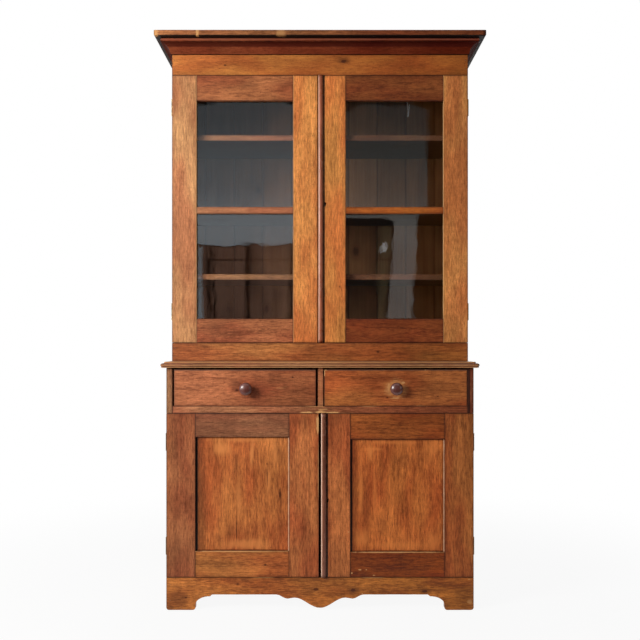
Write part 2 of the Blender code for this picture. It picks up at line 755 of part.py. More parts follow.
def build_lower_doors():
    """Two panelled doors, each with two stiles, two rails and a panel."""
    face = face_y
    back = face + face_thickness
    hinges = (lower_door_z + lower_hinge_low_rise, lower_door_top - lower_hinge_high_drop)
    groove_front = face + panel_recess - seat_gap
    groove_back = face + panel_recess + panel_edge + seat_gap
    doors = (
        (-1, "left", -lower_left_edge, lower_left_meeting_stile, lower_left_top_rail, lower_left_bottom_rail),
        (1, "right", lower_right_edge, lower_right_meeting_stile, lower_right_top_rail, lower_right_bottom_rail),
    )
    for hand, side, meet, meeting_width, top_rail, bottom_rail in doors:
        prefix = "lower_" + side + "_door_"
        body = joint_empty("lower_" + side + "_door_axis",
                           (hand * hinge_x, case_y - hinge_gap / 2, lower_door_z))
        outer = hand * half_width
        inner_hinge = outer - hand * lower_hinge_stile
        inner_meet = meet + hand * meeting_width
        left, right = sorted((inner_hinge, inner_meet))
        sight_low = lower_door_z + bottom_rail
        sight_high = lower_door_top - top_rail
        rails = (("bottom_rail", lower_door_z, sight_low), ("top_rail", sight_high, lower_door_top))

        for name, bottom, top in rails:
            rail = tenoned_rail(prefix + name, left, right, bottom, top, face,
                                panel_recess, panel_edge, tenon_shoulder)
            low, high = (top - panel_groove, top + overrun)
            if name == "top_rail":
                low, high = (bottom - overrun, bottom + panel_groove)
            cut(rail, [block("groove", (left - overrun, groove_front, low),
                             (right + overrun, groove_back, high))])
            finish(rail, pine_red, body)

        stiles = (("hinge_stile", outer, inner_hinge, hand), ("meeting_stile", meet, inner_meet, -hand))
        for name, edge, inner, inward in stiles:
            stile = block(prefix + name, (edge, face, lower_door_z), (inner, back, lower_door_top))
            cuts = [mortise(inner, inward, bottom, top, face, panel_recess, panel_edge, tenon_shoulder)
                    for rail_name, bottom, top in rails]
            cuts.append(block("groove", (inner - inward * overrun, groove_front, sight_low - panel_groove),
                              (inner + inward * panel_groove, groove_back, sight_high + panel_groove)))
            cut(stile, cuts)
            if name == "hinge_stile":
                join(stile, [moving_hinge(hand, case_y, middle) for middle in hinges])
            elif side == "right":
                fit_lock("lower", stile, meet, lower_keyhole_x,
                         lower_door_z + lower_keyhole_rise, face, body)
            finish(stile, pine_golden, body)

        lower_panel(prefix + "panel", left, right, sight_low, sight_high, face, body)
        if side == "right":
            bead(prefix + "bead", lower_bead_edge, lower_bead_width, lower_door_z, lower_door_top, face, body)
        for level, middle in zip(("low", "high"), hinges):
            fixed_hinge("lower_" + side + "_hinge_" + level, hand, case_y, middle)


def tail_outline(middle, back, margin):
    """One dovetail as seen from the drawer's side: wide at its end, narrow at the shoulder."""
    end = back - tail_length - margin
    wide = tail_wide / 2 + margin
    narrow = tail_narrow / 2 + margin
    root = back + frame_lap
    slope = (wide - narrow) / (back - end)
    root_half = narrow - slope * (root - back)
    return [(end, middle - wide), (root, middle - root_half), (root, middle + root_half),
            (end, middle + wide)]


def drawer_knob(name, x, z, body):
    """A turned mushroom knob whose spigot is glued through the drawer front."""
    profile = [(0, face_thickness), (knob_spigot_radius, face_thickness), (knob_spigot_radius, -seat_gap),
               (knob_collar_radius, -seat_gap)]
    profile += [(knob_neck_radius, -knob_reach * knob_profile_shares[0][1] / 2)]
    profile += [(radius * knob_radius, -reach * knob_reach) for radius, reach in knob_profile_shares]
    profile += [(0, -knob_reach)]
    shape = bmesh.new()
    points = [shape.verts.new((x + radius, face_y + along, z)) for radius, along in profile]
    edges = [shape.edges.new(pair) for pair in zip(points, points[1:])]
    bmesh.ops.spin(shape, geom=points + edges, cent=(x, face_y, z), axis=(0, 1, 0),
                   angle=2 * math.pi, steps=knob_sides, use_merge=True)
    bmesh.ops.remove_doubles(shape, verts=shape.verts, dist=seat_gap / 10)
    bmesh.ops.recalc_face_normals(shape, faces=shape.faces)
    knob = solid(name, shape)
    knob.data.shade_smooth()
    knob.data.set_sharp_from_angle(angle=math.radians(40))
    finish(knob, knob_brown, body)


def build_drawers():
    """Two drawers: a front lapped over dovetailed sides, and a turned knob."""
    back = face_y + face_thickness
    box_back = back_front_y - drawer_back_gap
    side_top = drawer_top - drawer_side_drop
    for side, span, knob_x in (("left", drawer_left_span, knob_left_x), ("right", drawer_right_span, knob_right_x)):
        name = "drawer_" + side
        left, right = span
        knob_z = (drawer_z + drawer_top) / 2 - knob_drop
        body = joint_empty(name + "_axis", (knob_x, face_y, drawer_z))

        front = block(name + "_front", (left, face_y, drawer_z), (right, back, drawer_top))
        box = block(name + "_box", (left, back + seat_gap, drawer_z),
                    (left + drawer_board, box_back, side_top))
        bottom_z = drawer_z + drawer_bottom_lift
        boards = [
            block("side", (right - drawer_board, back + seat_gap, drawer_z), (right, box_back, side_top)),
            block("back", (left, box_back - drawer_board, drawer_z),
                  (right, box_back, drawer_top - drawer_back_drop)),
            block("bottom", (left + drawer_board / 2, back - drawer_bottom_groove + seat_gap, bottom_z),
                  (right - drawer_board / 2, box_back - drawer_board / 2, bottom_z + drawer_bottom_board)),
        ]
        cuts = [block("bottom_groove", (left + drawer_board / 2 - seat_gap, back - drawer_bottom_groove,
                                        bottom_z - seat_gap),
                      (right - drawer_board / 2 + seat_gap, back + overrun,
                       bottom_z + drawer_bottom_board + seat_gap))]
        pitch = (side_top - drawer_z) / tail_count
        for number in range(tail_count):
            middle = drawer_z + (number + 1 / 2) * pitch
            for edge, inward in ((left, 1), (right, -1)):
                ends = sorted((edge, edge + inward * drawer_board))
                boards.append(prism("tail", tail_outline(middle, back, 0), *ends, "X"))
                ends = sorted((edge - inward * overrun, edge + inward * (drawer_board + seat_gap)))
                cuts.append(prism("socket", tail_outline(middle, back, seat_gap), *ends, "X"))
        hole = rod("hole", 0, 0, -overrun, face_thickness + overrun, knob_spigot_radius + seat_gap)
        hole.data.transform(Matrix.Translation((knob_x, face_y, knob_z)) @ Matrix.Rotation(-math.pi / 2, 4, "X"))
        cuts.append(hole)
        finish(cut(front, cuts), pine_red, body)
        finish(join(box, boards), pine_inside, body)
        drawer_knob(name + "_knob", knob_x, knob_z, body)


for leftover in list(bpy.data.objects):
    bpy.data.objects.remove(leftover)
build_base_case()
build_upper_case()
build_upper_doors()
build_lower_doors()
build_drawers()
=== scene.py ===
import json
import math
import random

import bmesh
import bpy
from mathutils import Matrix, Vector, noise


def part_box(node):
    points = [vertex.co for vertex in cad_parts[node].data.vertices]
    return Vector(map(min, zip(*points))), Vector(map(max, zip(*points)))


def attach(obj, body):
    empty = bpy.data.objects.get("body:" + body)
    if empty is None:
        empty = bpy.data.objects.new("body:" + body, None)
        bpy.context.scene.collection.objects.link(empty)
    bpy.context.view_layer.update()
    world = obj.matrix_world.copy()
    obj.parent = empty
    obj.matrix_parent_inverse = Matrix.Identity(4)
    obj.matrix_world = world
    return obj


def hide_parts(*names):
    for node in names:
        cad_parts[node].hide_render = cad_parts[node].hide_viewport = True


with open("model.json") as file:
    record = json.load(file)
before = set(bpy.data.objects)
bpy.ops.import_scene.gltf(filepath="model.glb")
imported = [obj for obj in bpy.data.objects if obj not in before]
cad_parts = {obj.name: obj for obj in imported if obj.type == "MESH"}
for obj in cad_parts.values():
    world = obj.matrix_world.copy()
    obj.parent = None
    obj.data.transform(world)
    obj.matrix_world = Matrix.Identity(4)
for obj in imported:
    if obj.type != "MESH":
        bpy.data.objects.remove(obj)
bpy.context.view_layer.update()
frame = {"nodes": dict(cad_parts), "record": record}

cad = frame["nodes"]
chance = random.Random(11)


# The base's side boards are upright pine planks with an arched foot, housed for the floor and nailed to it.
# Old shellac has gone orange brown over them; their front edges show beside the drawers.

carried_by = {name: body for body, names in frame["record"]["behaviour"]["bodies"].items() for name in names}


class Signal:
    """A socket in a finish's node tree. Arithmetic on it adds Math nodes."""

    def __init__(self, tree, socket=None):
        self.tree = tree
        self.socket = socket

    def add(self, kind, settings=None, inputs=None, output=0):
        made = self.tree.nodes.new("ShaderNode" + kind)
        for name, value in (settings or {}).items():
            if name == "stops":
                while len(made.color_ramp.elements) < len(value):
                    made.color_ramp.elements.new(0.5)
                for stop, (place, level) in zip(made.color_ramp.elements, value):
                    stop.position = place
                    stop.color = (level, level, level, 1) if isinstance(level, float) else (*level, 1)
            else:
                setattr(made, name, value)
        for name, value in (inputs or {}).items():
            if isinstance(value, Signal):
                self.tree.links.new(value.socket, made.inputs[name])
            else:
                made.inputs[name].default_value = value
        return Signal(self.tree, made.outputs[output])

    def math(self, operation, *values, clamp=False):
        inputs = dict(enumerate((self, *values)))
        return self.add("Math", {"operation": operation, "use_clamp": clamp}, inputs)

    def vector(self, operation, *values):
        number = operation in ("LENGTH", "DISTANCE", "DOT_PRODUCT")
        return self.add("VectorMath", {"operation": operation}, dict(enumerate((self, *values))), int(number))

    def part(self, index):
        return self.add("SeparateXYZ", None, {0: self}, index)

    def position(self):
        """Where on its object the shaded point lies."""
        return self.add("TexCoord", output="Object")

    def bumped(self, strength, distance):
        """The normal of a surface with this height."""
        return self.add("Bump", None, {"Strength": strength, "Distance": distance, "Height": self})

    def to_surface(self, output="Material Output"):
        """End the tree in this shader."""
        self.tree.links.new(self.socket, self.tree.nodes[output].inputs["Surface"])

    def between(self, first, second):
        """The colour on the way from first, at 0, to second, at 1."""
        ends = [colour if isinstance(colour, Signal) else (*colour, 1) for colour in (first, second)]
        return self.add("Mix", {"data_type": "RGBA"}, {0: self, 6: ends[0], 7: ends[1]}, 2)

    def mixed(self, colour, share):
        """This colour with a share of another laid over it."""
        return share.between(self, colour)

    def fade(self, start, end, first=0.0, last=1.0):
        """From first at start to last at end, smoothly."""
        return self.add("MapRange", {"interpolation_type": "SMOOTHSTEP"},
                        {"Value": self, 1: start, 2: end, 3: first, 4: last})

    def clouds(self, scale, detail, rough=0.5, colour=False):
        """Noise whose cells are stretched by a different scale on each axis."""
        placed = self.add("Mapping", None, {"Vector": self, "Scale": scale})
        return self.add("TexNoise", None, {"Vector": placed, "Scale": 1.0, "Detail": detail,
                                           "Roughness": rough}, int(colour))

    def line_noise(self, scale, detail=2.0):
        """Noise along one number."""
        return self.add("TexNoise", {"noise_dimensions": "1D"},
                        {"W": self, "Scale": scale, "Detail": detail, "Roughness": 0.6})

    def __add__(self, other):
        return self.math("ADD", other)

    def __sub__(self, other):
        return self.math("SUBTRACT", other)

    def __rsub__(self, other):
        return self.add("Math", {"operation": "SUBTRACT"}, {0: other, 1: self})

    def __mul__(self, other):
        return self.math("MULTIPLY", other)

    def __truediv__(self, other):
        return self.math("DIVIDE", other)

    __radd__ = __add__
    __rmul__ = __mul__


def new_finish(name):
    """An empty material, its shader and a signal to build on."""
    finish = bpy.data.materials.new(name)
    finish.use_nodes = True
    shader = finish.node_tree.nodes["Principled BSDF"]
    return finish, shader, Signal(finish.node_tree)


def wire(shader, **values):
    """Link signals to a shader's sockets and set numbers on them; a name's underscores stand for spaces."""
    for name, value in values.items():
        socket = shader.inputs[name.replace("_", " ")]
        if isinstance(value, Signal):
            value.tree.links.new(value.socket, socket)
        elif value is not None:
            socket.default_value = value


def seen(*levels):
    """A colour as a screen shows it, 0 to 255, turned to light values."""
    shares = [level / 255 for level in levels]
    return tuple(s / 12.92 if s <= 0.04045 else ((s + 0.055) / 1.055) ** 2.4 for s in shares)


def times(colour, *shares):
    shares = shares * 3 if len(shares) == 1 else shares
    return tuple(level * share for level, share in zip(colour, shares))


# Bare pine where the polish is worn through; on the ledge's moulding the same colour is also painted as
# highlights.
bare_pine_and_highlight = seen(205, 152, 96)
# Black painted as shadow: under the cap, the cornice and the shelves, beside the beads and in the panels'
# recesses.
painted_shadow_black = (0.004, 0.003, 0.003)
# A pale line painted down the panels' right-hand edges, where the frame's arris catches the light: a painted
# highlight.
painted_edge_highlight = seen(222, 182, 148)


def pine(name, tone, grain, low, high, heart=(0.02, 0.06), ring=0.0048, figure=0.62, rings=0.35, sheen=0.44,
         blotch=0.7, wear=0.1, grime=0.5, joint_line_and_shade=0.75, rim=0.0, knots=(), smudges=(), glows=(), chips=(),
         lines=(), ends=None, polish=0.25, metal=None):
    """Old pine under shellac. The growth rings are uneven circles round a heart that runs along the grain, so
    a board sawn beside it shows arches and one sawn further off shows stripes. Knots (place, radius) and
    dark smudges, glows and chips (place, reach, reach, strength) lie on the board's face by its own two
    coordinates; the dark smudges are real marks in some places and painted shade in others. Lines (axis,
    place, reach, strength, colour) run round it; many are painted shadows, some painted highlights. A black
    line painted along the rim stands for dark joints and the shade in the gaps between parts, and a wider
    dark band inside it is partly dirt and partly painted shade. Ends are painted light: the shades that the
    low and the high end are multiplied by, so that the board darkens toward one end as the light falls off.
    Metal (back, side, colour) covers the leaf or lock case that is packed with the board, behind or
    beside it."""
    finish, shader, start = new_finish(name)
    span = [b - a for a, b in zip(low, high)]
    axis = "XYZ".index(grain)
    thin = min((k for k in range(3) if k != axis), key=lambda k: span[k])
    wide = 3 - axis - thin
    face = [k for k in range(3) if k != thin]
    here = start.position()
    shift = [chance.uniform(-3, 3) for _ in range(3)]
    board = here.vector("ADD", shift)

    def stretched(across, along):
        return [along if k == axis else across for k in range(3)]

    def around(u, v, reach_u, reach_v):
        """Distance from a spot on the face, 1 at its rim."""
        place, shares = [0.0] * 3, [0.0] * 3
        for k, centre, reach in zip(face, (u, v), (reach_u, reach_v)):
            place[k], shares[k] = centre, 1 / reach
        return here.vector("SUBTRACT", place).vector("MULTIPLY", shares).vector("LENGTH")

    dash = board.clouds(stretched(300.0, 45.0), 2.0, 0.6)
    streak = board.clouds(stretched(130.0, 17.0), 2.0, 0.6)
    coarse = board.clouds(stretched(46.0, 7.0), 3.0, 0.6)
    mottle = board.clouds(stretched(72.0, 44.0), 3.0, 0.65)
    fibre = board.clouds(stretched(480.0, 26.0), 2.0, 0.6)
    cloud = board.clouds(stretched(10.0, 4.0), 2.0, 0.5)
    warmth = board.clouds(stretched(10.0, 3.5), 2.0, 0.5, colour=True).part(0)
    fleck = board.clouds(stretched(340.0, 140.0), 1.5, 0.6)
    rib = board.clouds(stretched(26.0, 400.0), 2.0)
    spot = board.clouds(stretched(120.0, 60.0), 2.0, 0.6)
    ragged = board.clouds((45.0, 45.0, 45.0), 3.0, 0.65)

    sway = board.clouds(stretched(4.0, 1.3), 2.0, colour=True).vector("SUBTRACT", (0.5, 0.5, 0.5))
    middle = [(a + b) / 2 for a, b in zip(low, high)]
    middle[wide] += heart[0]
    middle[thin] += heart[1]
    out = here.vector("ADD", sway.vector("MULTIPLY", stretched(0.055, 0.0))).vector("SUBTRACT", middle)
    out = out.vector("MULTIPLY", stretched(1.0, 0.0)).vector("LENGTH") + (mottle - 0.5) * 0.006
    knot_dark = None
    for u, v, radius in knots:
        reach = [radius * (1.5 if k == axis else 0.9) for k in face]
        flow = around(u, v, *[radius * (3.4 if k == axis else 1.3) for k in face])
        out = out + flow.fade(0.2, 1.6, radius * 1.2, 0.0)
        eye = (around(u, v, *reach) + (mottle - 0.5) * 1.3).fade(0.5, 1.2, 0.95, 0.0)
        eye = eye.math("MAXIMUM", (flow + (streak - 0.5) * 2.5).fade(0.1, 1.3, 0.42, 0.0))
        knot_dark = eye if knot_dark is None else knot_dark.math("MAXIMUM", eye)

    uneven = out + ((out + shift[1]).line_noise(36.0) - 0.5) * ring * 3
    season = [(0.0, 0.25), (0.1, 0.0), (0.5, 0.12), (0.88, 1.0), (1.0, 0.25)]
    late = start.add("ValToRGB", {"stops": season}, {"Fac": (uneven / ring).math("FRACT")})
    strength = (out + shift[2]).line_noise(21.0).fade(0.35, 0.65, 0.15, 1.0)
    bands = (out + shift[0]).line_noise(75.0, 3.0)
    depth = 0.5 + figure * ((bands - 0.5) * 0.9 + (late - 0.3) * strength * rings + (dash - 0.5) * 3.0
                            + (streak - 0.5) * 1.5 + (coarse - 0.5) * 1.7 + (mottle - 0.5) * 0.9
                            + (fibre - 0.5) * 1.2 + (rib - 0.5) * 0.5)
    depth = depth.math("ADD", 0.0, clamp=True)
    base = seen(*tone)
    dark, black = times(base, 0.40, 0.32, 0.28), times(base, 0.12, 0.085, 0.08)
    pale = times(base, 1.6, 1.7, 1.8)
    colour = depth.between(times(base, 1.46, 1.48, 1.48), times(base, 0.54, 0.47, 0.42))
    tint = warmth.fade(0.36, 0.64).between((1.10, 1.22, 1.10), (0.90, 0.74, 0.66))
    colour = colour.vector("MULTIPLY", tint).vector("MULTIPLY", 1.0 + blotch * (cloud - 0.5) * 1.5)
    # Painted light: the colour is scaled from the low end's shade to the high end's, darker where the light
    # falls off.
    if ends:
        colour = colour.vector("MULTIPLY", here.part(axis).fade(low[axis], high[axis]).between(*ends))
    colour = colour.mixed(dark, fleck.fade(0.39, 0.28, 0.0, 0.6))
    colour = colour.mixed(pale, fleck.fade(0.64, 0.76, 0.0, 0.35))
    colour = colour.mixed(dark, spot.fade(0.64, 0.74, 0.0, 0.45))
    colour = colour.mixed(pale, spot.fade(0.34, 0.25, 0.0, 0.35))
    for u, v, reach_u, reach_v, share in glows:
        away = around(u, v, reach_u, reach_v) + (coarse - 0.5) * 1.2 + (streak - 0.5) * 0.8
        colour = colour.mixed(times(base, 1.5, 1.75, 1.7), away.fade(0.1, 1.1, share, 0.0))
    if knot_dark:
        colour = colour.mixed(times(base, 0.20, 0.14, 0.11), knot_dark)
    # Dark smudges: real marks, and painted shade where a call lays them beside a recess or over a shaded
    # part.
    for u, v, reach_u, reach_v, share in smudges:
        away = around(u, v, reach_u, reach_v) + (mottle - 0.5) * 1.3 + (streak - 0.5) * 0.9
        colour = colour.mixed(black, away.fade(0.2, 1.1, share, 0.0))

    near = here.vector("SUBTRACT", [a + rim * (k in face) for k, a in enumerate(low)])
    far = here.vector("SUBTRACT", [a - rim * (k in face) for k, a in enumerate(high)])
    inside = near.vector("MINIMUM", far.vector("MULTIPLY", (-1.0, -1.0, -1.0)))
    sides = [inside.part(k) for k in range(3)]
    pairs = [a.math("MAXIMUM", b) for a, b in zip(sides, sides[1:] + sides[:1])]
    arris = pairs[0].math("MINIMUM", pairs[1]).math("MINIMUM", pairs[2])
    # A dark band within a centimetre of the board's edges: partly dirt, and partly painted shade where an
    # edge meets another part or lines a recess.
    edge_darkening = (arris + (ragged - 0.5) * 0.010).fade(0.0, 0.010, grime, 0.0)
    colour = colour.mixed(times(base, 0.30, 0.23, 0.20), edge_darkening * 0.6)
    rubbed = (arris + (ragged - 0.42) * 0.0075).fade(0.0, 0.0016, wear, 0.0)
    colour = colour.mixed(bare_pine_and_highlight, rubbed)
    # A black line painted along every arris: dark joints, and painted shade in the gaps between parts.
    joint_line_and_gap_shade = (arris + (ragged - 0.5) * 0.0022).fade(0.0006, 0.0024, joint_line_and_shade, 0.0)
    colour = colour.mixed(black, joint_line_and_gap_shade)
    # Lines painted round the board: most black ones are painted shadow, some pale ones painted highlights,
    # others wear.
    for along, place, reach, share, paint in lines:
        away = (here.part("XYZ".index(along)) - place).math("ABSOLUTE")
        away = away / reach + (ragged - 0.5) * 0.003 / reach
        colour = colour.mixed(paint or black, away.fade(0.5, 1.1, share, 0.0))
    for u, v, reach_u, reach_v, share in chips:
        away = around(u, v, reach_u, reach_v) + (ragged - 0.5) * 1.2 + (dash - 0.5) * 0.9
        colour = colour.mixed(bare_pine_and_highlight, away.fade(0.55, 1.0, share, 0.0))

    rough = sheen + 0.16 * (cloud - 0.5) + 0.12 * (fibre - 0.5) + rubbed * 0.22 + edge_darkening * 0.12
    metallic = None
    if metal:
        back, side, look = metal
        plate = here.part(1).math("GREATER_THAN", back)
        plate = plate.math("MAXIMUM", here.part(0).math("ABSOLUTE").math("GREATER_THAN", side))
        colour = colour.mixed(times(look, 0.75), plate).mixed(times(look, 0.35, 0.3, 0.25), plate * edge_darkening)
        rough = rough * (1.0 - plate) + plate * (0.36 + 0.3 * (cloud - 0.5))
        metallic = plate * 0.9
    height = late * 0.3 + fibre * 0.6 + streak * 0.5 - fleck.fade(0.39, 0.28) * 0.5
    height = height + ragged * 0.4 - joint_line_and_gap_shade * 0.8
    wire(shader, Base_Color=colour, Roughness=rough, Normal=height.bumped(0.35, 0.0004), Metallic=metallic,
         Specular_IOR_Level=polish)
    return finish


same_point = 0.00001
same_plane = math.radians(0.4)


def bench_copy(name):
    """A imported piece's mesh, merged and with its flat faces whole again."""
    shape = bmesh.new()
    shape.from_mesh(cad[name].data)
    bmesh.ops.remove_doubles(shape, verts=shape.verts, dist=same_point)
    bmesh.ops.dissolve_limit(shape, angle_limit=same_plane, verts=shape.verts, edges=shape.edges)
    return shape


def ease(shape, low, high, outer, inner):
    """Round a board's arrises, more on its outside than round its joints and cuts."""
    def sharp(edge, width):
        if len(edge.link_faces) != 2 or edge.calc_face_angle_signed(0) < math.radians(60):
            return False
        return all(face.calc_area() > 2.5 * width * max(side.calc_length() for side in face.edges)
                   for face in edge.link_faces)

    def outside(edge):
        middle = (edge.verts[0].co + edge.verts[1].co) / 2
        flush = [min(abs(middle[k] - low[k]), abs(middle[k] - high[k])) < 0.0002 for k in range(3)]
        return sum(flush) > 1

    for width, wanted in ((outer, outside), (inner, lambda edge: True)):
        edges = [edge for edge in shape.edges if sharp(edge, width) and wanted(edge)]
        if edges:
            bmesh.ops.bevel(shape, geom=edges, offset=width, segments=2, profile=0.5, affect="EDGES",
                            material=-1, clamp_overlap=True)


def crosscut(shape, axis, low, high, step):
    """Cut lines across a piece at even steps, so that its edge can be worn unevenly between them."""
    normal = [float(k == axis) for k in range(3)]
    count = int((high - low) / step)
    for number in range(1, count):
        place = [0.0, 0.0, 0.0]
        place[axis] = low + (high - low) * number / count
        bmesh.ops.bisect_plane(shape, geom=shape.verts[:] + shape.edges[:] + shape.faces[:], dist=0.00002,
                               plane_co=place, plane_no=normal)


def grow(shape, faces, way):
    """Extrude faces by a way; returns the points at its end."""
    grown = bmesh.ops.extrude_face_region(shape, geom=faces)
    points = [item for item in grown["geom"] if isinstance(item, bmesh.types.BMVert)]
    bmesh.ops.translate(shape, vec=way, verts=points)
    return points


def set_down(shape, name, finish, body, replaces=(), smooth=True):
    """Turn a finished shape into a piece that moves with its body."""
    mesh = bpy.data.meshes.new(name)
    shape.to_mesh(mesh)
    shape.free()
    mesh.materials.append(finish)
    piece = bpy.data.objects.new(name, mesh)
    bpy.context.scene.collection.objects.link(piece)
    if smooth:
        mesh.shade_smooth()
        normals = piece.modifiers.new("even_normals", "WEIGHTED_NORMAL")
        normals.keep_sharp = True
    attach(piece, body)
    if replaces:
        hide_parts(*replaces)


def worn(name, finish, low, high, outer=0.0014, inner=0.0004):
    """A packed board with eased arrises, set in its place."""
    shape = bench_copy(name)
    ease(shape, low, high, outer, inner)
    set_down(shape, name + "_worn", finish, carried_by[name], [name])


def dress(name, finish, arris):
    """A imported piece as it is, with its finish and slightly rounded arrises."""
    piece = cad[name]
    piece.data.materials[0] = finish
    weld = piece.modifiers.new("weld", "WELD")
    weld.merge_threshold = same_point
    flat = piece.modifiers.new("flat", "DECIMATE")
    flat.decimate_type = "DISSOLVE"
    flat.angle_limit = same_plane
    rounding = piece.modifiers.new("arris", "BEVEL")
    rounding.width = arris
    rounding.segments = 2
    rounding.limit_method = "ANGLE"
    rounding.angle_limit = math.radians(40)
    normals = piece.modifiers.new("even_normals", "WEIGHTED_NORMAL")
    normals.keep_sharp = True


def dress_in_pine(name, tone, grain, arris=0.0006, **looks):
    """A packed board as it is, in pine of its own size."""
    dress(name, pine(name + "_pine", tone, grain, *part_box(name), **looks), arris)


board_thickness = 0.022
case_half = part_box("frieze")[1].x
inner_half = case_half - board_thickness
face_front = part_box("apron")[0].y

# On the right side a black line painted down its front edge beside the drawer is painted shade of the gap.
for hand, side, tone in ((-1, "left", (148, 101, 71)), (1, "right", (108, 57, 36))):
    name = "base_side_" + side
    low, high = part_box(name)
    low.x, high.x = sorted((hand * inner_half, hand * case_half))
    finish = pine(name + "_pine", tone, "Z", low, high, heart=(-0.05, 0.07 * hand), ring=0.0055, grime=0.7,
                  knots=((0.06, 0.44, 0.008), (-0.11, 0.70, 0.006)), smudges=((0.1, 0.06, 0.2, 0.08, 0.3),),
                  lines=(("X", 0.5448, 0.0040, 0.95, None),))
    worn(name, finish, low, high)


# The base's floor board is housed in the sides; the back is upright boards, tongued together and nailed on.
# Neither was ever finished: bare pine, browned and dusty.

def boarded(name, tone, pitch, knots, figure):
    """Bare upright boards side by side, each with its own grain and shade."""
    finish, shader, start = new_finish(name)
    here = start.position()
    x = here.part(0)
    number = (x / pitch).math("FLOOR")
    own = start.add("TexWhiteNoise", {"noise_dimensions": "1D"}, {"W": number + 3.7}, "Color")
    board = here.vector("ADD", own.vector("MULTIPLY", (4.0, 4.0, 7.0)))
    streak = board.clouds((110.0, 110.0, 3.0), 3.0, 0.6)
    coarse = board.clouds((30.0, 30.0, 1.4), 3.0, 0.6)
    fibre = board.clouds((700.0, 700.0, 14.0), 2.0)
    cloud = board.clouds((9.0, 9.0, 5.0), 3.0, 0.6)
    base = seen(*tone)
    depth = 0.5 + figure * ((streak - 0.5) * 1.6 + (coarse - 0.5) * 1.8 + (fibre - 0.5) * 0.5
                            + (own.part(1) - 0.5) * 0.6)
    depth = depth.math("ADD", 0.0, clamp=True)
    colour = depth.between(times(base, 1.5), times(base, 0.5, 0.42, 0.36))
    colour = colour.vector("MULTIPLY", 0.5 + cloud)
    for u, v, radius in knots:
        away = here.vector("SUBTRACT", (u, 0.0, v)).vector("MULTIPLY", (1 / radius, 0.0, 0.6 / radius))
        away = away.vector("LENGTH") + (streak - 0.5) * 1.6
        colour = colour.mixed(times(base, 0.22, 0.16, 0.13), away.fade(0.6, 1.4, 0.9, 0.0))
        colour = colour.mixed(times(base, 0.55, 0.42, 0.36), away.fade(1.0, 3.2, 0.5, 0.0))
    to_joint = ((x / pitch + 0.5).math("FRACT") - 0.5).math("ABSOLUTE") * pitch
    edge_darkening = (to_joint + (cloud - 0.5) * 0.008).fade(0.0, 0.007, 0.6, 0.0)
    colour = colour.mixed(times(base, 0.3, 0.24, 0.2), edge_darkening)
    bump = (streak * 0.6 + fibre * 0.6).bumped(0.5, 0.0006)
    wire(shader, Base_Color=colour, Roughness=0.75 + (cloud - 0.5) * 0.2, Normal=bump, Specular_IOR_Level=0.2)
    return finish


dress_in_pine("base_floor", (140, 98, 66), "X", sheen=0.75, grime=0.8,
              knots=((0.21, 0.02, 0.008), (-0.3, -0.1, 0.007)))

back_pitch = 0.12
planed = 0.0005


def set_back(name, tone, knots, figure=1.0):
    """Boards planed down a little on their outer face, so that their nail heads end flush with the case."""
    shape = bench_copy(name)
    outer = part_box(name)[1].y
    for point in shape.verts:
        if point.co.y > outer - 0.0001:
            point.co.y -= planed
    finish = boarded(name + "_boards", tone, back_pitch, knots, figure)
    set_down(shape, name + "_boards", finish, "case", [name])


set_back("base_back", (128, 92, 62), ((-0.33, 0.52, 0.008), (0.20, 0.33, 0.010)))


# The scrolled apron is one board sawn to shape: two feet, two arches and a hanging centre, nailed over the
# sides' front edges. Its lower edge is knocked and rubbed pale in places, and its left foot is worn grey.

low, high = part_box("apron")
# The apron is painted paler and bluer toward its left end and darker toward its right: painted sheen and
# falloff of the light from the left.
finish = pine("apron_pine", (168, 92, 37), "X", low, high, heart=(0.03, 0.09), ring=0.006, figure=0.75,
    blotch=0.75, wear=0.35, grime=0.3, joint_line_and_shade=0.5, ends=((1.02, 1.15, 1.6), (0.9, 0.97, 1.05)),
    knots=((-0.015, 0.076, 0.0075), (0.121, 0.073, 0.0085), (0.384, 0.069, 0.0075), (-0.30, 0.095, 0.004),
        (-0.49, 0.045, 0.004)),
    smudges=((-0.52, 0.04, 0.05, 0.06, 0.45), (-0.55, 0.01, 0.02, 0.02, 0.5),
        (0.02, 0.114, 0.1, 0.010, 0.4), (0.121, 0.073, 0.03, 0.02, 0.35), (0.384, 0.069, 0.03, 0.016, 0.3),
        (0.53, 0.05, 0.08, 0.07, 0.45), (0.46, 0.02, 0.02, 0.03, 0.4)),
    chips=((0.548, 0.03, 0.012, 0.010, 0.4), (-0.471, 0.113, 0.0022, 0.0022, 0.8),
        (0.545, 0.112, 0.006, 0.003, 0.7), (0.155, 0.060, 0.004, 0.003, 0.6),
        (0.20, 0.118, 0.05, 0.0016, 0.6), (-0.20, 0.118, 0.05, 0.0014, 0.5)))
shape = bench_copy("apron")
ease(shape, low, high, 0.0012, 0.0009)
crosscut(shape, 0, low.x, high.x, 0.018)
for point in shape.verts:
    if point.co.z < 0.11:
        rub = noise.noise(point.co * 38) + 0.5 * noise.noise(point.co * 110)
        from_front = point.co.y - low.y
        if from_front < 0.0035 or point.co.z < 0.06:
            point.co.z += 0.0006 * abs(rub)
        if from_front < 0.0010:
            point.co.y += 0.00025 * abs(rub)
set_down(shape, "apron_worn", finish, "case", ["apron"])


# The drawer frame is a rail above the doors and a short divider between the drawers, flush with the sides'
# front edges; bearers behind them carry the drawers. The rail's lower arris is rubbed pale in the middle.

low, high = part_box("drawer_frame")
high.y = low.y + board_thickness
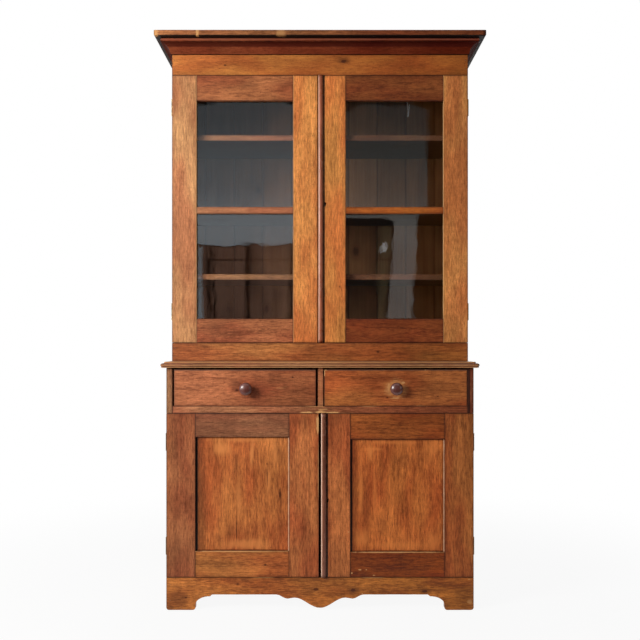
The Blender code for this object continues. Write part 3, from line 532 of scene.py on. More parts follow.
# The rail is painted paler and bluer toward its left end and darker toward its right: painted sheen and
# falloff of the light from the left.
finish = pine("drawer_frame_pine", (161, 96, 60), "X", low, high, ring=0.005, grime=0.6,
    lines=(("Z", 0.7442, 0.0014, 0.6, None),), ends=((1.12, 1.25, 1.6), (0.68, 0.62, 0.6)),
    glows=((0.0, 0.82, 0.012, 0.08, 0.4),),
    smudges=((-0.4, 0.73, 0.09, 0.02, 0.3), (0.45, 0.73, 0.12, 0.02, 0.25)),
    chips=((-0.045, 0.7200, 0.034, 0.0052, 1.0), (0.000, 0.7220, 0.030, 0.0070, 0.9),
        (0.045, 0.7200, 0.030, 0.0050, 1.0), (0.010, 0.7330, 0.022, 0.0035, 0.5),
        (0.07, 0.7185, 0.12, 0.0020, 0.6), (-0.02, 0.7440, 0.04, 0.0016, 0.6),
        (0.18, 0.7440, 0.03, 0.0014, 0.6)))
worn("drawer_frame", finish, low, high, 0.0007, 0.0004)


# The ledge tops the base. Its front and end edges are worked to a moulding, an ovolo over a bead, mitred at
# the corners. Pale lines painted along the ridges are partly wear through to pale wood and partly painted
# highlights; the dark lines between them are painted shade in the quirks. The board is painted darker toward
# its right end, a painted falloff of the light.

low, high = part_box("ledge")
finish = pine("ledge_pine", (142, 88, 63), "X", low, high, heart=(0.12, 0.05), blotch=0.8, wear=0.2,
    grime=0.3, joint_line_and_shade=0.4, sheen=0.46,
    smudges=((-0.45, -0.22, 0.07, 0.05, 0.45), (0.3, 0.1, 0.3, 0.12, 0.15)),
    lines=(("Z", 0.9052, 0.0024, 0.6, bare_pine_and_highlight), ("Z", 0.8990, 0.0020, 0.75, None),
        ("Z", 0.8952, 0.0018, 0.6, bare_pine_and_highlight), ("Z", 0.8912, 0.0016, 0.6, None),
        ("Z", 0.8872, 0.0018, 0.7, bare_pine_and_highlight)), ends=((1.3, 1.35, 1.4), (0.8, 0.78, 0.7)),
    knots=((-0.18, -0.165, 0.006), (0.33, -0.15, 0.005)))
shape = bench_copy("ledge")
crosscut(shape, 0, low.x, high.x, 0.009)
for point in shape.verts:
    inset = {"y": point.co.y - low.y, "x": point.co.x - low.x, "-x": high.x - point.co.x}
    edge = min(inset, key=inset.get)
    if inset[edge] < 0.013 and point.co.y < high.y - 0.002:
        rub = 0.5 * noise.noise(point.co * Vector((26, 26, 60))) + 0.5 * noise.noise(point.co * 90)
        drop = max(0.0, rub) * 0.0011 + 0.0002
        point.co += Vector({"y": (0, drop, 0), "x": (drop, 0, 0), "-x": (-drop, 0, 0)}[edge])
set_down(shape, "ledge_worn", finish, "case", ["ledge"])


# The upper case's sides are upright planks, housed for the floor and three shelves, which are nailed
# through them. The back is upright boards, nailed on; a faded orange stain covers the inside.

for hand, side, tone in ((-1, "left", (158, 98, 58)), (1, "right", (146, 87, 48))):
    name = "upper_side_" + side
    low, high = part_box(name)
    finish = pine(name + "_pine", tone, "Z", low, high, heart=(0.04, 0.06 * hand), ring=0.0058,
                  knots=((0.12, 1.28, 0.008), (0.02, 1.72, 0.006), (0.19, 1.93, 0.006)),
                  smudges=((0.0, 1.5, 0.15, 0.3, 0.2),))
    worn(name, finish, low, high)

dress_in_pine("upper_floor", (112, 70, 42), "X", sheen=0.7, wear=0.2, knots=((0.25, 0.05, 0.008),))
# The shelves are painted darker over their right half and black along their undersides: painted shade.
for number, level in enumerate(("low", "middle", "high")):
    name = "upper_shelf_" + level
    low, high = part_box(name)
    finish = pine(name + "_pine", (148, 94, 65), "X", low, high, heart=(0.05 - 0.05 * number, 0.05),
        figure=0.4, sheen=0.62, wear=0.2, grime=0.35, joint_line_and_shade=0.3, lines=(("Z", low.z, 0.0018, 0.85, painted_shadow_black),),
        smudges=((0.36, low.y, 0.5, 0.5, 0.72),), knots=((-0.28 + 0.21 * number, 0.08, 0.006),))
    dress(name, finish, 0.0009)
# The back boards are toned darker than the base's back, partly to stand in for the shade inside the glazed
# case: painted shade.
knots = ((-0.385, 1.116, 0.009), (-0.225, 1.118, 0.010), (0.15, 1.36, 0.011), (-0.26, 1.62, 0.009),
         (0.31, 1.83, 0.008), (0.10, 1.12, 0.008))
set_back("upper_back", (113, 75, 48), knots, figure=0.35)


# The rail over the ledge and the frieze under the cap are plain boards, nailed to the sides' front edges and
# stopped and varnished over. The frieze has a knot near its middle.

# Both boards are painted paler and bluer toward their left ends and darker toward their right: painted sheen
# and falloff of the light from the left.
dress_in_pine("upper_base_rail", (152, 89, 46), "X", 0.0005, heart=(0.04, 0.05), ring=0.0055, grime=0.5,
              knots=((0.22, 0.942, 0.005),), ends=((1.12, 1.2, 1.4), (0.95, 0.9, 0.75)),
              smudges=((-0.03, 0.95, 0.06, 0.02, 0.25), (0.4, 0.93, 0.08, 0.02, 0.3)))
dress_in_pine("frieze", (158, 89, 38), "X", 0.0005, heart=(-0.01, 0.06), ring=0.0065, figure=0.4,
              grime=0.3, knots=((0.090, 2.045, 0.0075), (-0.36, 2.03, 0.0035)),
              ends=((1.2, 1.35, 1.55), (0.75, 0.68, 0.6)),
              smudges=((0.088, 2.047, 0.04, 0.020, 0.45), (-0.12, 2.04, 0.1, 0.02, 0.1)))


# The cornice is a cove with a small fascia, run with a plane, mitred round the front corners and nailed up
# under the cap. The shellac has gone nearly black in it. The cap board laps over it and is nailed down.

low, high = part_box("cornice_moulding")
# Painted shade: black lines along the moulding's lower edge, under the cap and in the quirk below the fascia,
# and a near-black band at the top of the cove; the moulding is painted darker toward its right end, a painted
# falloff of the light.
finish = pine("cornice_pine", (107, 47, 27), "X", low, high, ring=0.004, figure=0.4, blotch=0.6, wear=0.0,
    grime=0.3, sheen=0.65, polish=0.03, ends=((1.3, 1.6, 1.75), (0.6, 0.45, 0.4)),
    lines=(("Z", low.z, 0.0020, 0.9, painted_shadow_black), ("Z", 2.1015, 0.0080, 0.75, (0.040, 0.004, 0.003)),
        ("Z", 2.1209, 0.0026, 0.9, painted_shadow_black), ("Z", 2.1150, 0.0030, 0.6, (0.25, 0.08, 0.05)),
        ("Z", 2.1085, 0.0014, 0.8, painted_shadow_black)))
dress("cornice_moulding", finish, 0.0005)
# The cap's underside and the bottom of its front edge are painted black, a painted shadow under the overhang,
# and the cap is painted darker toward its right end, a painted falloff of the light.
low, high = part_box("upper_top")
finish = pine("cap_pine", (128, 75, 45), "X", low, high, heart=(0.1, 0.05), ring=0.0042, wear=0.2,
    grime=0.3, joint_line_and_shade=0.3, sheen=0.6, polish=0.12, knots=((-0.31, -0.1, 0.007), (0.2, 0.05, 0.008)),
    lines=(("Z", low.z, 0.0036, 0.95, painted_shadow_black),), ends=((1.4, 1.5, 1.6), (0.65, 0.55, 0.5)),
    chips=((-0.458, low.y, 0.007, 0.02, 0.8), (-0.145, low.y, 0.02, 0.02, 0.4),
        (-0.612, low.y, 0.012, 0.02, 0.6)))
shape = bench_copy("upper_top")
crosscut(shape, 0, low.x, high.x, 0.014)
for point in shape.verts:
    if point.co.z > high.z - 0.0001:
        point.co.z -= planed
    if point.co.y - low.y < 0.004:
        point.co.y += 0.0007 * abs(noise.noise(point.co * 30)) + 0.0004 * abs(noise.noise(point.co * 95))
set_down(shape, "cap_worn", finish, "case", ["upper_top"])


# The doors are pegless mortise-and-tenon frames. Each stile and rail came from a different board, so no two
# match: light straight-grained stiles over darker, redder rails. The lower doors hold flat panels.

frames = {
    "upper_left_door": {
        "hinge_stile": ((177, 122, 83), (0.16, 0.03), 0.0042,
            dict(figure=0.5, blotch=0.5, smudges=((-0.55, 1.30, 0.02, 0.2, 0.08),))),
        "meeting_stile": ((206, 129, 70), (-0.14, 0.05), 0.0048,
            dict(figure=0.5, blotch=0.5,
                smudges=((-0.028, 1.40, 0.012, 0.07, 0.2), (-0.05, 1.07, 0.012, 0.03, 0.15)))),
        "top_rail": ((146, 84, 52), (0.01, 0.05), 0.0040,
            dict(figure=0.55,
                smudges=((-0.275, 1.953, 0.05, 0.016, 0.3), (-0.14, 1.956, 0.06, 0.01, 0.2)))),
        "glazing_bar": ((164, 107, 77), (0.02, 0.05), 0.0045, dict(figure=0.4, joint_line_and_shade=0.35)),
        "bottom_rail": ((155, 89, 58), (-0.02, 0.055), 0.0044,
            dict(rings=0.7, smudges=((-0.40, 1.03, 0.04, 0.03, 0.15),))),
    },
    "upper_right_door": {
        # The black line down this stile beside the bead is the bead's painted shadow.
        "meeting_stile": ((196, 123, 64), (0.15, 0.04), 0.0046,
            dict(figure=0.5, blotch=0.8, knots=((0.075, 1.19, 0.003),),
                smudges=((0.03, 1.15, 0.02, 0.1, 0.12),), lines=(("X", 0.0150, 0.0040, 0.95, painted_shadow_black),))),
        "hinge_stile": ((182, 118, 66), (-0.10, 0.05), 0.0044,
            dict(figure=0.55, blotch=0.7, smudges=((0.52, 1.62, 0.03, 0.03, 0.15),))),
        "top_rail": ((114, 58, 27), (0.0, 0.045), 0.0048, dict(rings=0.6)),
        "glazing_bar": ((157, 82, 31), (0.03, 0.05), 0.0045, dict(figure=0.4, joint_line_and_shade=0.35)),
        "bottom_rail": ((120, 56, 25), (0.005, 0.032), 0.0052, dict(rings=1.2)),
    },
    "lower_left_door": {
        "hinge_stile": ((146, 84, 53), (0.09, 0.06), 0.0046,
            dict(blotch=0.7, smudges=((-0.52, 0.20, 0.06, 0.08, 0.25), (-0.53, 0.52, 0.02, 0.1, 0.15)))),
        "meeting_stile": ((164, 92, 52), (-0.08, 0.05), 0.0044,
            dict(blotch=0.8, smudges=((-0.05, 0.30, 0.02, 0.1, 0.12), (-0.07, 0.69, 0.05, 0.03, 0.35)),
                chips=((-0.0085, 0.676, 0.0060, 0.045, 0.95), (-0.0062, 0.50, 0.0016, 0.12, 0.6)))),
        "top_rail": ((130, 80, 56), (0.0, 0.05), 0.0046,
            dict(smudges=((-0.30, 0.675, 0.08, 0.02, 0.15), (-0.42, 0.66, 0.05, 0.03, 0.2)))),
        "bottom_rail": ((164, 96, 49), (0.01, 0.05), 0.0044,
            dict(smudges=((-0.35, 0.16, 0.06, 0.02, 0.15),), knots=((-0.2, 0.165, 0.004),),
                chips=((-0.28, 0.2140, 0.20, 0.0024, 0.75),))),
    },
    "lower_right_door": {
        # The black line down this stile beside the bead is the bead's painted shadow.
        "meeting_stile": ((166, 92, 51), (0.08, 0.055), 0.0048,
            dict(blotch=0.7, smudges=((0.06, 0.62, 0.03, 0.06, 0.12), (0.06, 0.70, 0.05, 0.035, 0.4)),
                lines=(("X", 0.0260, 0.0036, 1.0, painted_shadow_black),), chips=((0.104, 0.285, 0.004, 0.0022, 0.9),))),
        "hinge_stile": ((148, 82, 41), (-0.07, 0.05), 0.0044,
            dict(smudges=((0.51, 0.3, 0.03, 0.1, 0.15),))),
        "top_rail": ((134, 67, 28), (0.0, 0.045), 0.0050, dict(rings=0.7)),
        "bottom_rail": ((117, 51, 15), (0.01, 0.05), 0.0042,
            dict(rings=0.7,
                chips=((0.28, 0.2108, 0.20, 0.0024, 0.75), (0.117, 0.135, 0.005, 0.0035, 0.9),
                    (0.146, 0.147, 0.0065, 0.0028, 0.9), (0.169, 0.147, 0.004, 0.0025, 0.8),
                    (0.197, 0.127, 0.006, 0.0022, 0.8)))),
    },
}
leaf_brass, lock_iron = (0.26, 0.19, 0.10), (0.20, 0.185, 0.17)
for door, boards in frames.items():
    hand = 1 if "right" in door else -1
    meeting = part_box(door + "_meeting_stile")
    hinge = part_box(door + "_hinge_stile")
    front = meeting[0].y
    door_back = front + board_thickness
    hinge_inner = hinge[0 if hand > 0 else 1].x
    meeting_inner = meeting[1 if hand > 0 else 0].x
    for board, (tone, heart, ring, extra) in boards.items():
        name = door + "_" + board
        low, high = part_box(name)
        low.y, high.y = front, door_back
        if board == "hinge_stile":
            low.x, high.x = sorted((hinge_inner, hand * case_half))
            extra["metal"] = (door_back + 0.0001, case_half + 0.0002, leaf_brass)
        elif board == "meeting_stile":
            extra["metal"] = (door_back + 0.0001, 1.0, lock_iron)
        else:
            low.x, high.x = sorted((hinge_inner, meeting_inner))
        if "upper" in door and name != "upper_right_door_meeting_stile" and "stile" in board:
            inner = hinge_inner if board == "hinge_stile" else meeting_inner
            extra["lines"] = (("X", inner, 0.0022, 0.6, bare_pine_and_highlight),)
        grain = "Z" if "stile" in board else "X"
        worn(name, pine(name + "_pine", tone, grain, low, high, heart, ring, **extra), low, high, 0.0011,
            0.0004)

# Painted shadow: a black band down each panel's left edge and a softer dark band beside it, where the stile's
# shadow falls in the recess; painted highlight: the pale line down each panel's right edge.
panels = {
    "lower_left_door_panel": ((172, 97, 50), (0.03, 0.05), 0.0070,
        dict(knots=((-0.194, 0.533, 0.0025),),
            lines=(("X", -0.4550, 0.0095, 1.0, painted_shadow_black), ("X", -0.1150, 0.0022, 0.8, painted_edge_highlight)),
            smudges=((-0.442, 0.42, 0.034, 0.40, 0.6), (-0.193, 0.486, 0.0032, 0.045, 0.75),
                (-0.146, 0.425, 0.0060, 0.026, 0.9), (-0.143, 0.385, 0.0030, 0.045, 0.7),
                (-0.306, 0.300, 0.0026, 0.065, 0.8), (-0.327, 0.285, 0.012, 0.035, 0.35),
                (-0.150, 0.575, 0.016, 0.045, 0.35), (-0.143, 0.31, 0.016, 0.06, 0.3),
                (-0.31, 0.53, 0.018, 0.05, 0.25), (-0.28, 0.2175, 0.30, 0.0030, 0.9)),
            glows=((-0.36, 0.590, 0.040, 0.035, 0.95), (-0.25, 0.575, 0.012, 0.060, 0.9),
                (-0.165, 0.565, 0.014, 0.060, 0.8), (-0.19, 0.48, 0.012, 0.06, 0.8),
                (-0.27, 0.24, 0.12, 0.025, 0.7), (-0.30, 0.41, 0.014, 0.10, 0.6),
                (-0.29, 0.622, 0.14, 0.012, 0.6)))),
    "lower_right_door_panel": ((174, 93, 44), (0.01, 0.045), 0.0078,
        dict(lines=(("X", 0.1125, 0.0070, 1.0, painted_shadow_black), ("X", 0.4536, 0.0022, 0.8, painted_edge_highlight)),
            smudges=((0.124, 0.42, 0.024, 0.40, 0.5), (0.30, 0.545, 0.06, 0.03, 0.25),
                (0.168, 0.36, 0.020, 0.13, 0.3), (0.305, 0.36, 0.006, 0.012, 0.5),
                (0.225, 0.30, 0.03, 0.05, 0.2), (0.4500, 0.42, 0.0024, 0.5, 0.7),
                (0.28, 0.2140, 0.30, 0.0028, 0.9)),
            glows=((0.185, 0.575, 0.012, 0.035, 0.9), (0.20, 0.587, 0.05, 0.008, 0.6),
                (0.41, 0.59, 0.05, 0.03, 0.5), (0.15, 0.43, 0.012, 0.14, 0.7),
                (0.20, 0.42, 0.010, 0.12, 0.4), (0.15, 0.26, 0.04, 0.04, 0.7),
                (0.28, 0.235, 0.12, 0.02, 0.6), (0.42, 0.25, 0.03, 0.05, 0.6),
                (0.28, 0.612, 0.14, 0.012, 0.5)))),
}
for name, (tone, heart, ring, extra) in panels.items():
    dress_in_pine(name, tone, "Z", 0.0004, heart=heart, ring=ring, rings=0.3, blotch=0.6, wear=0.0, grime=0.6,
                  rim=0.009, **extra)


# A half-round bead of dark hardwood covers the joint between each pair of doors. It is run with a plane and
# pinned to the right-hand door. A pale line painted down its left side is a painted highlight.

def hardwood(name, tone, sheen, rub, highlight_strip=None, polish=0.4):
    """Dark close-grained wood, polished by hands. A strip (place, strength) down it is painted
    pale, a painted highlight.
    """
    finish, shader, start = new_finish(name)
    here = start.position()
    streak = here.clouds((260.0, 260.0, 9.0), 3.0, 0.6)
    cloud = here.clouds((14.0, 14.0, 7.0), 3.0, 0.6)
    patch = here.clouds((70.0, 70.0, 24.0), 3.0, 0.65)
    base = seen(*tone)
    colour = streak.between(times(base, 1.6), times(base, 0.4)).vector("MULTIPLY", 0.45 + cloud * 1.1)
    rubbed = patch.fade(0.54, 0.70, 0.0, rub)
    colour = colour.mixed(seen(158, 112, 88), rubbed)
    if highlight_strip:
        away = (here.part(0) - highlight_strip[0]).math("ABSOLUTE") / 0.0022 + (patch - 0.5) * 1.2
        colour = colour.mixed(seen(226, 190, 165), away.fade(0.4, 1.2, highlight_strip[1], 0.0))
    wire(shader, Base_Color=colour, Roughness=sheen + (cloud - 0.5) * 0.25 + rubbed * 0.2,
         Normal=(streak + patch * 0.6).bumped(0.3, 0.0004), Specular_IOR_Level=polish)
    return finish


bead_depth = 0.009
for level, tone, pale in (("upper", (149, 82, 55), 0.45), ("lower", (116, 68, 50), 0.85)):
    name = level + "_right_door_bead"
    low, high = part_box(name)
    finish = hardwood(level + "_bead_wood", tone, 0.28, 0.4, (low.x + 0.0018, pale))
    radius = (high.x - low.x) / 2
    shape = bmesh.new()
    first = shape.verts.new((low.x, high.y, low.z))
    bmesh.ops.spin(shape, geom=[first], cent=(low.x + radius, high.y, low.z), axis=(0, 0, 1),
                   angle=math.pi, steps=14, use_duplicate=False)
    for point in shape.verts:
        point.co.y = high.y - abs(point.co.y - high.y) * bead_depth / radius
    bmesh.ops.contextual_create(shape, geom=shape.verts)
    grow(shape, shape.faces[:], (0, 0, high.z - low.z))
    bmesh.ops.recalc_face_normals(shape, faces=shape.faces)
    crosscut(shape, 2, low.z, high.z, 0.012)
    for point in shape.verts:
        if point.co.y < high.y - 0.001:
            rub = abs(noise.noise(point.co * 42)) + 0.5 * abs(noise.noise(point.co * 130))
            point.co.y += 0.0006 * rub
    set_down(shape, name + "_worn", finish, level + "_right_door", [name])


# Each upper door holds two panes of old drawn glass, wavy and full of slow ripples, bedded from behind in
# putty that has dried to a hard buff bevel.

def old_glass():
    """Clear glass that lets the lamps through to what is behind it."""
    finish, shader, start = new_finish("old_glass")
    wire(shader, Base_Color=(0.93, 0.97, 0.95, 1), Transmission_Weight=1.0, Roughness=0.0, IOR=1.52)
    shadow = start.add("LightPath", output="Is Shadow Ray")
    clear = start.add("BsdfTransparent", None, {"Color": (0.52, 0.54, 0.53, 1)})
    start.add("MixShader", None, {0: shadow, 1: Signal(start.tree, shader.outputs[0]), 2: clear}).to_surface()
    return finish


def dried_putty():
    """Linseed putty, painted over with varnish and cracked."""
    finish, shader, start = new_finish("dried_putty")
    here = start.position()
    cloud = here.clouds((30.0, 30.0, 30.0), 3.0)
    crack = here.add("TexVoronoi", {"feature": "DISTANCE_TO_EDGE"}, {"Vector": here, "Scale": 160.0})
    colour = cloud.between(seen(150, 118, 84), seen(96, 66, 44))
    colour = colour.mixed(seen(50, 34, 24), crack.fade(0.0, 0.05, 0.7, 0.0))
    wire(shader, Base_Color=colour, Roughness=0.8, Normal=(cloud + crack.fade(0.0, 0.06)).bumped(0.5, 0.0005))
    return finish


glass_finish = old_glass()
putty_finish = dried_putty()
putty_lip = 0.0068
putty_gap = 0.0008
for side in ("left", "right"):
    door = f"upper_{side}_door"
    for level in ("lower", "upper"):
        name = f"{door}_pane_{level}"
        low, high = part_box(name)
        shape = bmesh.new()
        bmesh.ops.create_grid(shape, x_segments=60, y_segments=64, size=0.5)
        for point in shape.verts:
            x = low.x + (point.co.x + 0.5) * (high.x - low.x)
            z = low.z + (point.co.y + 0.5) * (high.z - low.z)
            point.co = (x, low.y, z)
        behind = set(grow(shape, shape.faces[:], (0, high.y - low.y, 0)))
        shift = Vector((chance.uniform(0, 9), chance.uniform(0, 9), 0))
        for point in shape.verts:
            inside = min(point.co.x - low.x, high.x - point.co.x, point.co.z - low.z, high.z - point.co.z)
            if inside > 0.004:
                spot = Vector((point.co.x * 15, point.co.z * 7, 0)) + shift
                wave = 0.5 + 0.5 * noise.noise(spot) + 0.12 * noise.noise(spot * 3.1)
                point.co.y += (0.00018 if point not in behind else -0.00012) * wave
        bmesh.ops.recalc_face_normals(shape, faces=shape.faces)
        set_down(shape, name + "_wavy", glass_finish, door, [name])

        shape = bmesh.new()
        glass_back = high.y + 0.0001
        wood_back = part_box(door + "_top_rail")[1].y - 0.0004
        rings = []
        for inset, depth in ((0.0, glass_back), (0.0, wood_back), (putty_lip, glass_back)):
            left, right = low.x - putty_gap + inset, high.x + putty_gap - inset
            bottom, top = low.z - putty_gap + inset, high.z + putty_gap - inset
            corners = ((left, bottom), (right, bottom), (right, top), (left, top))
            rings.append([shape.verts.new((x, depth, z)) for x, z in corners])
        for first, second in zip(rings, rings[1:] + rings[:1]):
            for number in range(4):
                after = (number + 1) % 4
                shape.faces.new((first[number], first[after], second[after], second[number]))
        bmesh.ops.recalc_face_normals(shape, faces=shape.faces)
        set_down(shape, f"{door}_putty_{level}", putty_finish, door, smooth=False)


# The hinges are pressed brass butts, two to a door. The fixed leaf, its knuckles and the riveted pin are one
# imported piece; slotted brass screws, sunk almost flush, hold each leaf, three to a leaf on each hinge.

def old_metal(name, colour, sheen, tarnish):
    """Metal dulled by age, brighter where it is handled."""
    finish, shader, start = new_finish(name)
    here = start.position()
    cloud = here.clouds((120.0, 120.0, 120.0), 3.0, 0.6)
    scratch = here.clouds((90.0, 90.0, 1500.0), 2.0)
    shade = (cloud.fade(0.4, 0.7) * 0.75).between(colour, tarnish).vector("MULTIPLY", 0.8 + scratch * 0.4)
    bump = (scratch * 0.5 + cloud).bumped(0.25, 0.0002)
    wire(shader, Base_Color=shade, Roughness=sheen + (cloud - 0.5) * 0.3, Normal=bump, Metallic=0.95)
    return finish


screw_height = 0.0006
screw_sunk = 0.0005
slot_share = 0.13


def slotted_screws(name, places, facing, radius, finish, body):
    """Flat screw heads a hair proud; each is two half rounds with the slot left open between them."""
    shape = bmesh.new()
    for place in places:
        turn = chance.uniform(0, math.pi)
        head = []
        for half in (-1, 1):
            disc = bmesh.ops.create_circle(shape, cap_ends=True, segments=18, radius=radius)["verts"]
            parts = {edge for point in disc for edge in point.link_edges}
            parts |= set(disc) | set(disc[0].link_faces)
            cut = bmesh.ops.bisect_plane(shape, geom=list(parts), dist=0.000001, clear_inner=True,
                                         plane_co=(0, half * radius * slot_share, 0), plane_no=(0, half, 0))
            rim = next(item for item in cut["geom_cut"] if isinstance(item, bmesh.types.BMEdge))
            face = rim.link_faces[0]
            head += grow(shape, [face], (0, 0, screw_height))
            head += [point for edge in face.edges for point in edge.verts]
        head = list(set(head))
        bmesh.ops.rotate(shape, verts=head, cent=(0, 0, 0), matrix=Matrix.Rotation(turn, 3, "Z"))
        bmesh.ops.rotate(shape, verts=head, cent=(0, 0, 0),
                         matrix=Matrix.Rotation(-facing * math.pi / 2, 3, "X"))
        bmesh.ops.translate(shape, vec=Vector(place) - Vector((0, facing * screw_sunk, 0)), verts=head)
    bmesh.ops.recalc_face_normals(shape, faces=shape.faces)
    set_down(shape, name, finish, body, smooth=False)


brass = old_metal("tarnished_brass", leaf_brass, 0.36, (0.13, 0.085, 0.04))
iron = old_metal("old_iron", lock_iron, 0.45, (0.07, 0.05, 0.04))
leaf_middle = case_half - 0.0095
for level in ("lower", "upper"):
    for side, hand in (("left", -1), ("right", 1)):
        door = f"{level}_{side}_door"
        fixed, moving = [], []
        for place in ("low", "high"):
            name = f"{level}_{side}_hinge_{place}"
            dress(name, brass, 0.0002)
            low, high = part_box(name)
            axis_y = (low.y + high.y) / 2
            for number, drop in enumerate((-0.0235, 0.0, 0.0235)):
                x = hand * (leaf_middle - (0.004 if number == 1 else -0.002))
                z = (low.z + high.z) / 2 + drop
                fixed.append((x, axis_y + 0.00015, z))
                moving.append((x, axis_y - 0.00015, z))
        slotted_screws(f"{level}_{side}_hinge_fixed_screws", fixed, -1, 0.0028, brass, "case")
        slotted_screws(f"{level}_{side}_hinge_door_screws", moving, 1, 0.0028, brass, door)


# The knobs are turned hardwood mushrooms with a thin collar, dark and polished by hands. The round tenon of
# each is glued through its drawer's front.

knob_finish = hardwood("knob_wood", (90, 42, 34), 0.33, 0.1, polish=0.8)
knob_outline = ((0.0, -0.022), (0.34, -0.022), (0.34, 0.0003), (0.53, 0.0003), (0.545, 0.0012),
    (0.53, 0.0030), (0.44, 0.0052), (0.415, 0.0080), (0.44, 0.0112), (0.53, 0.0142), (0.66, 0.0162),
    (0.80, 0.0176), (0.92, 0.0196), (0.985, 0.0222), (1.0, 0.0245), (0.985, 0.0266), (0.93, 0.0292),
    (0.84, 0.0316), (0.70, 0.0340), (0.52, 0.0360), (0.30, 0.0374), (0.12, 0.0379), (0.0, 0.038))
for side in ("left", "right"):
    name = f"drawer_{side}_knob"
    low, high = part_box(name)
    x, z = (low.x + high.x) / 2, (low.z + high.z) / 2
    radius = (high.x - low.x) / 2
    shape = bmesh.new()
    points = [shape.verts.new((x + share * radius, face_front - along, z)) for share, along in knob_outline]
    edges = [shape.edges.new(pair) for pair in zip(points, points[1:])]
    bmesh.ops.spin(shape, geom=points + edges, cent=(x, face_front, z), axis=(0, 1, 0),
                   angle=2 * math.pi, steps=40, use_merge=True)
    bmesh.ops.remove_doubles(shape, verts=shape.verts, dist=0.00002)
    bmesh.ops.recalc_face_normals(shape, faces=shape.faces)
    set_down(shape, name + "_turned", knob_finish, "drawer_" + side, [name])


# The drawers are dovetailed boxes of thin bare pine behind thick shellacked fronts, which shut flush. Fingers
# have rubbed the right-hand front pale round its knob, and its top corner is chipped.

drawer_looks = {
    "left": ((151, 84, 55), (0.0, 0.05),
        dict(knots=((-0.303, 0.803, 0.005), (-0.10, 0.85, 0.003)),
            ends=((1.1, 1.15, 1.2), (0.97, 0.93, 0.85)),
            smudges=((-0.42, 0.82, 0.09, 0.02, 0.15), (-0.24, 0.76, 0.12, 0.015, 0.15),
                (-0.305, 0.826, 0.035, 0.022, 0.45), (-0.25, 0.80, 0.03, 0.02, 0.3)),
            chips=((-0.142, 0.811, 0.022, 0.0012, 0.5), (-0.125, 0.816, 0.014, 0.0010, 0.45),
                (-0.175, 0.797, 0.015, 0.0010, 0.4), (-0.03, 0.742, 0.02, 0.0016, 0.5)))),
    "right": ((149, 82, 41), (0.005, 0.055),
        dict(knots=((0.246, 0.776, 0.003), (0.43, 0.78, 0.003)),
            smudges=((0.42, 0.81, 0.09, 0.03, 0.15), (0.12, 0.77, 0.07, 0.02, 0.15)),
            ends=((1.25, 1.25, 1.25), (0.88, 0.86, 0.9)),
            glows=((0.276, 0.808, 0.058, 0.054, 0.85),),
            chips=((0.0165, 0.866, 0.0026, 0.012, 1.0), (0.021, 0.8762, 0.008, 0.0022, 0.9),
                (0.278, 0.807, 0.046, 0.043, 0.35), (0.304, 0.831, 0.008, 0.005, 0.7),
                (0.2515, 0.815, 0.005, 0.016, 0.5), (0.277, 0.7745, 0.018, 0.0035, 0.65),
                (0.20, 0.744, 0.02, 0.0014, 0.5), (0.37, 0.746, 0.02, 0.0014, 0.5),
                (0.385, 0.877, 0.004, 0.0016, 0.8)))),
}
# Both fronts are painted lighter toward their left ends and darker toward their right: painted falloff of the
# light.
for side, (tone, heart, extra) in drawer_looks.items():
    name = f"drawer_{side}_front"
    low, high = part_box(name)
    finish = pine(name + "_pine", tone, "X", low, high, heart, 0.0056, grime=0.5,
                  lines=(("Z", 0.8765, 0.0024, 0.5, (0.16, 0.09, 0.065)),), **extra)
    worn(name, finish, low, high, 0.0013, 0.0003)
    dress_in_pine(f"drawer_{side}_box", (158, 118, 80), "Y", 0.0004, heart=(0.05, 0.05), ring=0.005,
                  sheen=0.7, wear=0.2, grime=0.5)


# A thin iron rim lock is screwed to the back of each right-hand meeting stile. Its case is packed with the
# stile; the bolt slides in it, and four slotted screws hold it.

for level in ("upper", "lower"):
    dress(level + "_lock_bolt", iron, 0.0004)
    bolt_low, bolt_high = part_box(level + "_lock_bolt")
    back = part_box(level + "_right_door_meeting_stile")[1].y
    middle = (bolt_low.z + bolt_high.z) / 2
    places = [(bolt_low.x + across, back, middle + along)
              for across in (0.005, 0.037) for along in (-0.0305, 0.0155)]
    slotted_screws(level + "_lock_screws", places, 1, 0.0024, iron, level + "_right_door")


# Cut nails hold the boards to the sides, floor and shelves. Their square heads were hammered a hair short of
# flush and have rusted dark; fine pins hold the beads.

nail_head = 0.0014


def cut_nails(name, places, facing, width, body):
    """Square heads, each turned, tapered and driven a little differently."""
    shape = bmesh.new()
    turn = Vector((0, 0, 1)).rotation_difference(Vector(facing)).to_matrix()
    for place in places:
        head = bmesh.ops.create_cone(shape, cap_ends=True, segments=4, radius1=width * 0.75,
                                     radius2=width * chance.uniform(0.5, 0.6), depth=nail_head)["verts"]
        bmesh.ops.rotate(shape, verts=head, cent=(0, 0, 0),
                         matrix=Matrix.Rotation(math.radians(45 + chance.uniform(-14, 14)), 3, "Z"))
        bmesh.ops.rotate(shape, verts=head, cent=(0, 0, 0), matrix=turn)
        proud = Vector(facing) * (chance.uniform(0.0002, 0.0004) - nail_head / 2)
        bmesh.ops.translate(shape, vec=Vector(place) + proud, verts=head)
    bmesh.ops.recalc_face_normals(shape, faces=shape.faces)
    set_down(shape, name, iron, body, smooth=False)


def jog(value, reach=0.004):
    """A place as the eye finds it, off by up to a reach."""
    return value + chance.uniform(-reach, reach)


